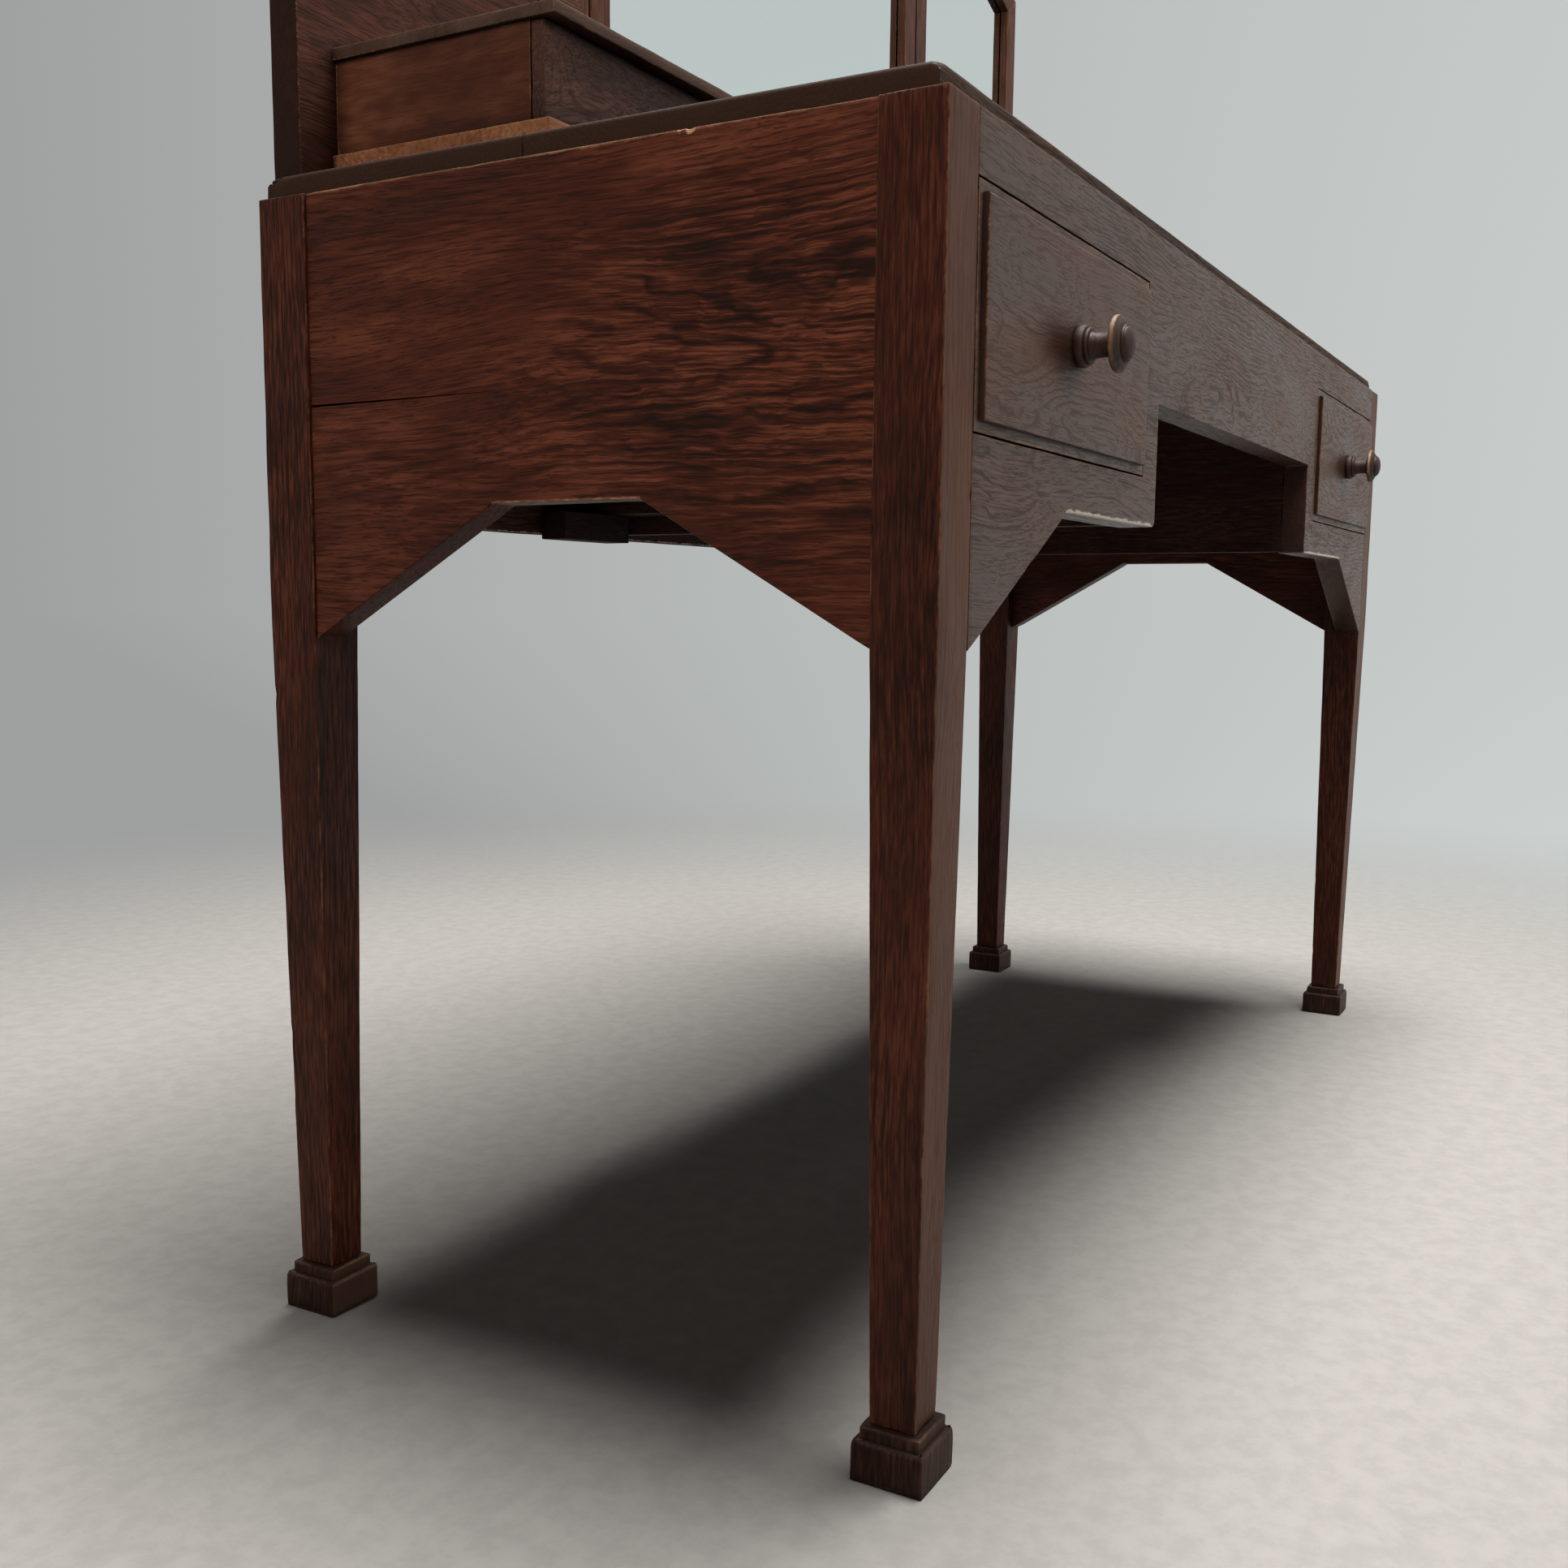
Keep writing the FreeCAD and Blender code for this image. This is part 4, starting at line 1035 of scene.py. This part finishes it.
@dataclass
class Carcase(TablePart):
    """The front board with its knee-hole and brackets, the back board, and what is inside."""

    front_thickness: float = 0.025
    end_width: float = 0.268
    flat_width: float = 0.1895
    middle_width: float = 0.1075
    slope_run: float = 0.1455
    front_easing: float = 0.6 * MM
    knee_round: float = 6 * MM
    back_thickness: float = 0.018
    back_width: float = 0.191
    cell: float = 9 * MM

    def build(self) -> None:
        """Makes the front and back boards and finishes the inner pieces."""
        top, inner, knee, back = self.leg_height, self.leg_x, self.knee_half, self.half_depth
        flat, front = top - self.flat_width, -self.half_depth
        high = top - self.rail_width
        low = high - self.opening_height
        stile = knee + self.stile_width
        lean = self.knee_round * (1 - math.sqrt(0.5))
        bend = (knee, flat + self.knee_round)
        half = [(knee, top - self.middle_width), bend,
                *arc(bend, (knee + lean, flat + lean), (knee + self.knee_round, flat), 6),
                (inner - self.slope_run, flat), (inner, top - self.end_width), (inner, low),
                (stile, low), (stile, high), (inner, high), (inner, top)]
        board = Workpiece()
        board.prism(half + [(-x, z) for x, z in reversed(half)], Axis.Y, front, front + self.front_thickness)
        board.ease(self.front_easing)
        board.scrape(2.2 * MM, lambda a, b: level(flat, a.z, b.z) and max(a.y, b.y) < front + MM)
        board.divide(self.cell)
        board.wear(0.35 * MM, seed=41, dents=26)
        board.fit(FRONT_OAK, "front_board")
        board = Workpiece()
        base = top - self.back_width
        board.box((-inner, inner), (back - self.back_thickness, back), (base, top))
        board.ease(self.easing)
        # The pale line along the back board's lower front arris is bare wood for its wear and a painted
        # glint of light on that edge.
        board.scrape(0.8 * MM, lambda a, b: max(a.z, b.z) < base + MM and max(a.y, b.y) < back - MM)
        board.divide((self.cell * 2, self.cell, self.cell))
        board.wear(0.3 * MM, seed=42, dents=10)
        board.fit(CARCASE_OAK, "back_board")
        for node in ("housing_side_left", "housing_side_right", "drawer_runners", "drawer_guides"):
            refinish(node, replace(CARCASE_OAK, grain=Grain.ALONG_Y))
        # The glue blocks are painted darker still, for the shade that they hang in under the carcase.
        dark, middle, _ = CARCASE_OAK.tones
        refinish("glue_blocks", replace(CARCASE_OAK, tones=(dark, dark, middle)))


@dataclass
class TableTop(TablePart):
    """The table top, of two boards with their joint line at the ends."""

    end_inset: float = 6.8 * MM
    front_inset: float = 8.3 * MM
    joint: float = 0.030
    joint_line: float = 1.0 * MM
    rounding: float = 3 * MM
    lower_rounding: float = 0.4 * MM
    cell: float = 9 * MM

    def build(self) -> None:
        """Makes both boards, rounded along their outer upper edges."""
        x = within((-self.half_length, self.half_length), self.end_inset)
        top, gap = self.top_height - CLOSE, self.joint_line / 2
        for node, y in (("top_board_front", (self.front_inset - self.half_depth, self.joint - gap)),
                        ("top_board_back", (self.joint + gap, self.half_depth))):
            board = Workpiece()
            board.box(x, y, (self.leg_height, self.top_height))
            board.ease(self.rounding, 4, lambda a, b: min(a.z, b.z) > top
                       and max(abs(a.y - self.joint), abs(b.y - self.joint)) >= MM)
            board.ease(self.lower_rounding, 2, lambda a, b: max(a.z, b.z) < top)
            board.arrises = [(a, b) for a, b in board.arrises
                             if min(abs(a.y - self.joint), abs(b.y - self.joint)) > MM]
            board.divide((self.cell, self.cell * 2, self.cell))
            board.wear(0.45 * MM, seed_of(node), dents=14)
            board.fit(TOP_OAK, node)


@dataclass(frozen=True)
class Knob:
    """A turned knob: flange, ring, neck, and a thick-rimmed head with a dome.

    The shares of the radius and the projection give the end of each run of its profile and, for
    a curved run, a point that it passes through.
    """

    radius: float
    projection: float
    shares: tuple[tuple[Point, Point | None], ...] = (
        ((0.70, 0.0), None), ((0.70, 0.165), (0.75, 0.083)), ((0.60, 0.175), None),
        ((0.60, 0.245), (0.645, 0.21)), ((0.49, 0.255), None), ((0.45, 0.59), (0.425, 0.43)),
        ((0.60, 0.62), None), ((0.95, 0.665), None), ((0.94, 0.77), (1.0, 0.715)),
        ((0.64, 0.850), (0.82, 0.815)), ((0.60, 0.880), (0.645, 0.868)))
    rim: Point = (0.985, 0.72)
    round_steps: int = 56
    curve_steps: int = 8

    def make(self, side: Side, body: str, centre: Corner) -> None:
        """Turns the knob and fits it.

        Args:
            side: The end of the table.
            body: The drawer's body, with whose name the node's name starts.
            centre: The middle of its seat.
        """
        points = [self.shares[0][0]]
        for end, via in self.shares[1:]:
            points += arc(points[-1], via, end, self.curve_steps) if via else [end]
        edge, start = points[-1]
        turns = [math.pi / 2 * i / self.curve_steps for i in range(1, self.curve_steps)]
        points += [(edge * math.cos(turn), start + (1 - start) * math.sin(turn)) for turn in turns]
        work = Workpiece(side)
        work.loft([hoop(centre, radius * self.radius, reach * self.projection, self.round_steps)
                   for radius, reach in points],
                  (centre[0], centre[1] - self.projection, centre[2]))
        rim = hoop(centre, self.rim[0] * self.radius, self.rim[1] * self.projection, 40)
        work.arrises = following([Vector(place) for place in rim])
        work.fit(KNOB_OAK, f"{body}_knob", body, f"turned_{body}_knob")


@dataclass
class MainDrawers(TablePart):
    """The two drawers: a front with a raised field, dovetailed sides, and a turned knob."""

    gap: float = 0.8 * MM
    front_thickness: float = 0.020
    field_proud: float = 3.5 * MM
    ledge: float = 6 * MM
    field_round: float = 0.9 * MM
    edge_round: float = 0.5 * MM
    side_thickness: float = 0.010
    side_inset: float = 0.3 * MM
    side_drop: float = 6 * MM
    run_clearance: float = 0.3 * MM
    tail_length: float = 0.012
    tail_widths: Point = (0.024, 0.016)
    tail_shares: Corner = (0.18, 0.5, 0.82)
    knob: Knob = Knob(0.0162, 0.0325)
    # The knob's painted shade on each front, its shadow and its dark reflection, lies left of the knob and a
    # little below it.
    smudge_mm: Spot = (-30.0, -3.0, 52.0, 24.0)
    cell: float = 7 * MM

    def build(self) -> None:
        """Makes the fronts, each a lap, a thicker middle, pins and a field; finishes the rest."""
        high = self.leg_height - self.rail_width
        x = within((self.knee_half + self.stile_width, self.leg_x), self.gap)
        z = within((high - self.opening_height, high), self.gap)
        face = -self.half_depth
        field = face - self.field_proud
        back = face + self.front_thickness
        lap = back - self.tail_length
        reach = self.side_inset + self.side_thickness
        # The drawer fronts take the knob's painted shade and a weaker painted sheen.
        finish = replace(FRONT_OAK, smudge_mm=self.smudge_mm, line_share=0.3, streak_share=0.1,
                         rub_share=0.7, film_share=0.15)
        for side in Side:
            body = f"drawer_{side.word}"
            work = Workpiece(side)
            work.box(x, (face, lap), z)
            work.box(within(x, reach), (lap, back), z)
            for end, pin in product(((x[0], x[0] + reach), (x[1] - reach, x[1])), self.pins(lap, back, z)):
                work.prism(pin, Axis.X, *end)
            work.box(within(x, self.ledge), (field, face + MM), within(z, self.ledge))
            work.ease(self.field_round, 3, lambda a, b: max(a.y, b.y) < field + CLOSE)
            work.ease(self.edge_round, 2, lambda a, b: level(face, a.y, b.y))
            work.divide(self.cell)
            work.wear(0.3 * MM, seed=60 + side.value, dents=10)
            work.fit(finish, f"{body}_front", body)
            for part, grain in (("side_outer", Grain.ALONG_Y), ("side_inner", Grain.ALONG_Y),
                                ("back", Grain.ALONG_X), ("bottom", Grain.ALONG_X)):
                refinish(f"{body}_{part}", replace(LINING_OAK, grain=grain), 0.25 * MM)
            self.knob.make(side, body, (sum(x) / 2, field, sum(z) / 2))

    def pins(self, lap: float, back: float, z: Point) -> list[list[Point]]:
        """The outlines, as y and z, of the wood left between a side's dovetails.

        Args:
            lap: How deep the tails reach.
            back: The front's inner face.
            z: The front's lower and upper edges.

        Returns:
            The outlines, from the lowest up.
        """
        low = z[0] - self.gap + self.run_clearance
        high = z[1] - self.side_drop
        middles = [low + share * (high - low) for share in self.tail_shares]
        wide, narrow = (width / 2 for width in self.tail_widths)
        lower = [[(back, z[0]), (lap, z[0])]] + [[(back, m + narrow), (lap, m + wide)] for m in middles]
        upper = [[(lap, m - wide), (back, m - narrow)] for m in middles] + [[(lap, z[1]), (back, z[1])]]
        return [below + above for below, above in zip(lower, upper)]


@dataclass
class GalleryAndCases(TablePart):
    """Gallery boards along the back edge, and a jewel case with a drawer before each."""

    gallery_inner: float = 0.2965
    case_end_inset: float = 0.0317
    case_inner_inset: float = 0.0075
    case_depth: float = 0.1632
    base_thickness: float = 0.0188
    base_overhang: float = 0.005
    base_front_overhang: float = 0.0068
    side_thickness: float = 0.010
    side_easing: float = 0.3 * MM
    case_height: float = 0.0567
    lid_thickness: float = 0.008
    lid_overhang: float = 0.003
    lid_front_overhang: float = 0.009
    lid_round: float = 1.2 * MM
    gap: float = 0.5 * MM
    front_thickness: float = 0.010
    knob: Knob = Knob(0.007, 0.014)
    cell: float = 7 * MM

    def build(self) -> None:
        """Makes the boards, the cases and their drawers."""
        x = (self.gallery_inner + self.case_inner_inset, self.gallery_outer - self.case_end_inset)
        face = self.gallery_face
        front = face - self.case_depth
        inner_face = front + self.front_thickness
        base = self.top_height + self.base_thickness
        lid = base + self.case_height
        drawer_z = within((base, lid), self.gap)
        for side in Side:
            case, body = f"jewel_case_{side.word}", f"jewel_drawer_{side.word}"
            self.board(side, f"gallery_board_{side.word}", GALLERY_OAK,
                       ((self.gallery_inner, self.gallery_outer), (face, self.half_depth),
                        (self.top_height, self.gallery_top)))
            self.board(side, f"{case}_base", JEWEL_BASE_OAK,
                       (within(x, -self.base_overhang), (front - self.base_front_overhang, face),
                        (self.top_height, base)))
            self.board(side, f"{case}_lid", LID_OAK,
                       (within(x, -self.lid_overhang), (front - self.lid_front_overhang, face),
                        (lid, lid + self.lid_thickness)), easing=self.lid_round)
            walls = Workpiece(side)
            for span in ((x[0], x[0] + self.side_thickness), (x[1] - self.side_thickness, x[1])):
                walls.box(span, (inner_face + self.gap, face), (base, lid))
            walls.ease(self.side_easing)
            walls.divide(self.cell)
            walls.wear(0.1 * MM, seed=80 + side.value)
            walls.fit(CASE_OAK, f"{case}_sides")
            self.board(side, f"{body}_front", CASE_FRONT_OAK, (x, (front, inner_face), drawer_z), body)
            refinish(f"{body}_tray", LINING_OAK, 0.25 * MM)
            self.knob.make(side, body, (sum(x) / 2, front, sum(drawer_z) / 2))

    def board(self, side: Side, node: str, finish: Oak, spans: tuple[Point, Point, Point],
              body: str = "root", easing: float = 0.8 * MM) -> None:
        """Makes one plain board.

        Args:
            side: The end of the table.
            node: The node that it stands for.
            finish: Its finish.
            spans: Its X, Y and Z spans.
            body: The body that it rides on.
            easing: How wide its arrises are rounded.
        """
        work = Workpiece(side)
        work.box(*spans)
        work.ease(easing)
        work.divide(self.cell)
        work.wear(0.35 * MM, seed_of("oak_" + node), dents=12, wave=0.025)
        work.fit(finish, node, body)


@dataclass
class TriptychMirror(TablePart):
    """A centre mirror on two posts, and a wing mirror hinged at each side of it.

    A kind of screw has its radius and how far it stands proud; each slot is turned by its height.
    """

    centre_height: float = 0.620
    centre_half: float = 0.293
    gap: float = 3.5 * MM
    stile: float = 0.025
    thickness: float = 0.023
    frame_easing: float = 0.45 * MM
    rebate: float = 0.008
    rebate_front: float = 0.009
    glass_thickness: float = 0.004
    glass_play: float = 1 * MM
    glass_bevel: float = 0.012
    glass_bevel_depth: float = 1.2 * MM
    cant_run: float = 0.150
    cant_rise: float = 0.054
    wing_end_inset: float = 0.015
    wing_bottom_gap: float = 0.003
    wing_shoulder: float = 0.292
    post_width: float = 0.050
    post_thickness: float = 0.018
    post_drop: float = 0.165
    post_rise: float = 0.455
    post_inset: float = 0.053
    post_screws: tuple[float, ...] = (-0.13, -0.04, 0.06, 0.24, 0.42)
    post_screw: Point = (4 * MM, 1.1 * MM)
    hinge_shares: Point = (0.22, 0.78)
    hinge_screws: Point = (-0.014, 0.014)
    hinge_screw: Point = (2.6 * MM, 0.35 * MM)
    hinge_screw_depth: float = 0.0095
    cell: float = 10 * MM

    def build(self) -> None:
        """Makes the mirrors, posts and hinge screws, and finishes the backings and the hinges."""
        half, low = self.centre_half, self.top_height
        flat, high = half - self.cant_run, low + self.centre_height
        shoulder = high - self.cant_rise
        self.mirror(Side.RIGHT, "mirror_centre", "root",
                    [(-half, low), (half, low), (half, shoulder), (flat, high), (-flat, high),
                     (-half, shoulder)])
        inner, outer = half + self.gap, self.gallery_outer - self.wing_end_inset
        low = self.gallery_top + self.wing_bottom_gap
        shoulder = low + self.wing_shoulder
        high = shoulder + self.cant_rise
        for side in Side:
            self.mirror(side, f"mirror_{side.word}", f"wing_{side.word}",
                        [(inner, low), (outer, low), (outer, shoulder), (outer - self.cant_run, high),
                         (inner, high)])
        for name in ("centre", "left", "right"):
            refinish(f"mirror_{name}_backing", BACKING_PINE)
            refinish(f"hinge_leaves_{name}", Brass(), 0.15 * MM)
        self.posts()
        places = [low + share * (high - low) + shift
                  for share, shift in product(self.hinge_shares, self.hinge_screws)]
        for side in Side:
            for body, x, out in (("root", half, 1), (f"wing_{side.word}", inner, -1)):
                screws = Workpiece(side)
                for z in places:
                    screws.screw(Vector((x, self.gallery_face + self.hinge_screw_depth, z)),
                                 Vector((out, 0, 0)), *self.hinge_screw, turn=31 * z)
                screws.fit(Brass(), "", body, f"hinge_screws_{body}_{side.word}")

    def mirror(self, side: Side, node: str, body: str, outline: list[Point]) -> None:
        """Makes a mitred frame, with the grain along each member, and its bevelled glass.

        Args:
            side: The end of the table for which the outline is mirrored.
            node: The start of its nodes' names.
            body: The body that it rides on.
            outline: Its outer outline, as x and z.
        """
        sight = inset(outline, self.stile)
        rear = inset(outline, self.stile - self.rebate)
        levels = ((outline, 0.0), (sight, 0.0), (sight, self.rebate_front),
                  (rear, self.rebate_front), (rear, self.thickness), (outline, self.thickness))
        rings = [[(line[i][0], self.gallery_face + y, line[i][1]) for line, y in levels]
                 for i in range(len(outline))]
        work = Workpiece(side)
        for member in following(rings):
            work.loft(member)
        work.ease(self.frame_easing)
        work.divide(self.cell)
        work.wear(0.2 * MM, seed_of(node), dents=12)
        piece = work.fit(FRAME_OAK, f"{node}_frame", body)
        lying = replace(FRAME_OAK, grain=Grain.ALONG_X)
        piece.data.materials.append(lying.dress(f"{piece.name}_rails", middle_of(piece)))
        members = following([Vector((side.value * x, 0.0, z)) for x, z in outline])
        for face in piece.data.polygons:
            centre = Vector((face.center.x, 0.0, face.center.z))
            start, end = min(members, key=lambda ends: distance_to(centre, ends))
            face.material_index = int(abs((end - start).x) > MM)

        edge = inset(outline, self.stile - self.rebate + self.glass_play)
        flat = inset(edge, self.rebate - self.glass_play + self.glass_bevel)
        front = self.gallery_face + self.rebate_front
        levels = ((flat, front), (edge, front + self.glass_bevel_depth),
                  (edge, front + self.glass_thickness))
        work = Workpiece(side)
        work.loft([[(x, y, z) for x, z in line] for line, y in levels])
        work.divide((self.cell, 0.0, self.cell))
        work.arrises = following([Vector((x, front, z)) for x, z in sight])
        piece = work.fit(Silvering(), f"{node}_glass", body, f"silvered_{node}_glass")
        piece.data.set_sharp_from_angle(angle=GLASS_ANGLE)

    def posts(self) -> None:
        """Makes the two posts that carry the centre mirror, with their screws."""
        outer = self.centre_half - self.post_inset
        back = self.half_depth + self.post_thickness
        work, screws = Workpiece(), Workpiece()
        for x in ((outer - self.post_width, outer), (-outer, self.post_width - outer)):
            work.box(x, (self.half_depth, back),
                     (self.top_height - self.post_drop, self.top_height + self.post_rise))
        work.ease(self.easing)
        work.divide(self.cell)
        work.wear(0.3 * MM, seed=91, dents=8)
        work.fit(BACKING_PINE, "mirror_posts", name="pine_mirror_posts")
        for sign, rise in product((-1, 1), self.post_screws):
            z = self.top_height + rise
            screws.screw(Vector((sign * (outer - self.post_width / 2), back, z)), Vector((0, 1, 0)),
                         *self.post_screw, turn=9 * z)
        screws.fit(Brass(), "", name="post_screws")


@dataclass
class Viewpoint:
    """The camera, at the angle of the photograph."""

    place: Corner = (-1.3321, -0.5361, 0.4636)
    yaw: float = -59.973
    pitch: float = 7.250
    roll: float = 0.4516
    lens_mm: float = 36.43
    shift: Point = (0.01737, 0.01789)

    def set_up(self) -> None:
        """Makes the camera and hands it to the scene."""
        turn = Matrix.Rotation(math.radians(self.yaw), 3, "Z")
        nod = Matrix.Rotation(math.radians(90 - self.pitch), 3, "X")
        lean = Matrix.Rotation(math.radians(self.roll), 3, "Z")
        data = bpy.data.cameras.new("view")
        data.sensor_width = 36.0
        data.lens = self.lens_mm
        data.shift_x, data.shift_y = self.shift
        camera = bpy.data.objects.new("view", data)
        camera.matrix_world = Matrix.Translation(self.place) @ (turn @ nod @ lean).to_4x4()
        bpy.context.scene.collection.objects.link(camera)
        bpy.context.scene.camera = camera


@dataclass
class Studio:
    """A pale floor, a pale background, and soft lamps.

    Each lamp has its name, its place, what it looks at, the length of its side and its watts. The
    fills, which are all but the first, leave the floor to the ceiling lamp, which casts the shade.
    """

    floor_radius: float = 80.0
    floor_colour: Colour = (0.43, 0.405, 0.375)
    fade_mm: Point = (800.0, 2600.0)
    background: tuple[tuple[float, Colour], ...] = (
        (0.0, (0.33, 0.34, 0.34)), (0.48, (0.345, 0.355, 0.353)), (1.0, (0.635, 0.675, 0.665)))
    bright_way: Corner = (0.8, -0.6, 0.0)
    world_strength: float = 0.05
    lamps: tuple[tuple[str, Corner, Corner, float, float], ...] = (
        ("ceiling", (0.1, -0.3, 4.0), (0.0, 0.0, 0.0), 1.7, 280.0),
        ("front", (1.2, -2.1, 2.0), (0.2, 0.0, 0.7), 1.2, 76.0),
        ("left", (-2.2, -0.4, 2.1), (-0.5, 0.0, 0.8), 1.2, 62.0),
        ("right", (2.3, 0.2, 1.4), (0.5, 0.0, 0.5), 1.2, 36.0),
        ("back", (-0.1, 2.4, 1.5), (0.0, 0.2, 0.6), 1.2, 48.0))

    def set_up(self) -> None:
        """Makes the floor, the background and the lamps."""
        bpy.context.scene.view_settings.view_transform = "Standard"
        spared = bpy.data.collections.new("not_lit_by_fills")
        spared.objects.link(self.floor())
        spared.collection_objects[0].light_linking.link_state = "EXCLUDE"
        self.world()
        for name, place, aim, size, power in self.lamps:
            data = bpy.data.lights.new(name, "AREA")
            data.size = size
            data.energy = power
            lamp = bpy.data.objects.new(name, data)
            lamp.visible_camera = False
            lamp.location = place
            lamp.rotation_euler = (Vector(aim) - Vector(place)).to_track_quat("-Z", "Y").to_euler()
            bpy.context.scene.collection.objects.link(lamp)
            if name != "ceiling":
                lamp.visible_glossy = False
                lamp.light_linking.receiver_collection = spared

    def floor(self) -> bpy.types.Object:
        """Makes the floor, which fades into the background some way from the table.

        Returns:
            The floor.
        """
        form = bmesh.new()
        bmesh.ops.create_circle(form, cap_ends=True, radius=self.floor_radius, segments=96)
        mesh = bpy.data.meshes.new("floor")
        form.to_mesh(mesh)
        form.free()
        floor = bpy.data.objects.new("floor", mesh)
        bpy.context.scene.collection.objects.link(floor)
        sheet = new_sheet("pale_floor")
        place = sheet.place_mm(Vector(), Grain.FLAT_X)
        fleck = place.cloud((0.05, 0.05, 0.05), 4.0, 0.7)
        darker = tuple(value * 0.90 for value in self.floor_colour)
        colour = fleck.between(0.35, 0.65).mix(darker, self.floor_colour)
        lit = sheet.surface(colour, 0.85, fleck, 0.3, 0.2, Specular_IOR_Level=0.1)
        glow = sheet.add("Emission", {"Color": self.backdrop(place.apply("NORMALIZE", (0.0, 0.0, 0.0)))})
        far = place.measure("LENGTH").between(*self.fade_mm) * self.seen_rays(sheet)
        mesh.materials.append(sheet.end(sheet.add("MixShader", {0: far, 1: lit, 2: glow})))
        return floor

    @staticmethod
    def seen_rays(sheet: NodeSheet) -> Signal:
        """One for the camera's rays and for those that gloss sends out, otherwise zero."""
        camera, gloss = (sheet.add("LightPath", {}, f"Is {word} Ray") for word in ("Camera", "Glossy"))
        return camera.apply("MAXIMUM", gloss)

    def backdrop(self, way: Signal) -> Signal:
        """The background's colour in a direction, paler towards the front right."""
        share = (way.measure("DOT_PRODUCT", self.bright_way) + 1.0) * 0.5
        return share.ramp(self.background)

    def world(self) -> None:
        """Makes the background: soft light, and a pale colour for the camera and for gloss."""
        world = bpy.data.worlds.new("studio")
        bpy.context.scene.world = world
        sheet = NodeSheet(world)
        soft = sheet.add("Background", {"Color": (1.0, 1.0, 1.0), "Strength": self.world_strength})
        pale = sheet.add("Background", {"Color": self.backdrop(sheet.add("TexCoord", {}, "Generated"))})
        mixed = sheet.add("MixShader", {0: self.seen_rays(sheet), 1: soft, 2: pale})
        sheet.add("OutputWorld", {"Surface": mixed})


def main() -> None:
    """Loads the frame, builds each sub-assembly on it, and sets up the studio."""
    logging.basicConfig(level=logging.INFO, format="%(name)s: %(message)s")
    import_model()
    for part in (LegsAndFeet, EndPanels, Carcase, TableTop, MainDrawers, GalleryAndCases, TriptychMirror):
        part().build()
        LOG.info("%s built", part.__name__)
    Studio().set_up()
    Viewpoint().set_up()


if __name__ == "__main__":
    main()
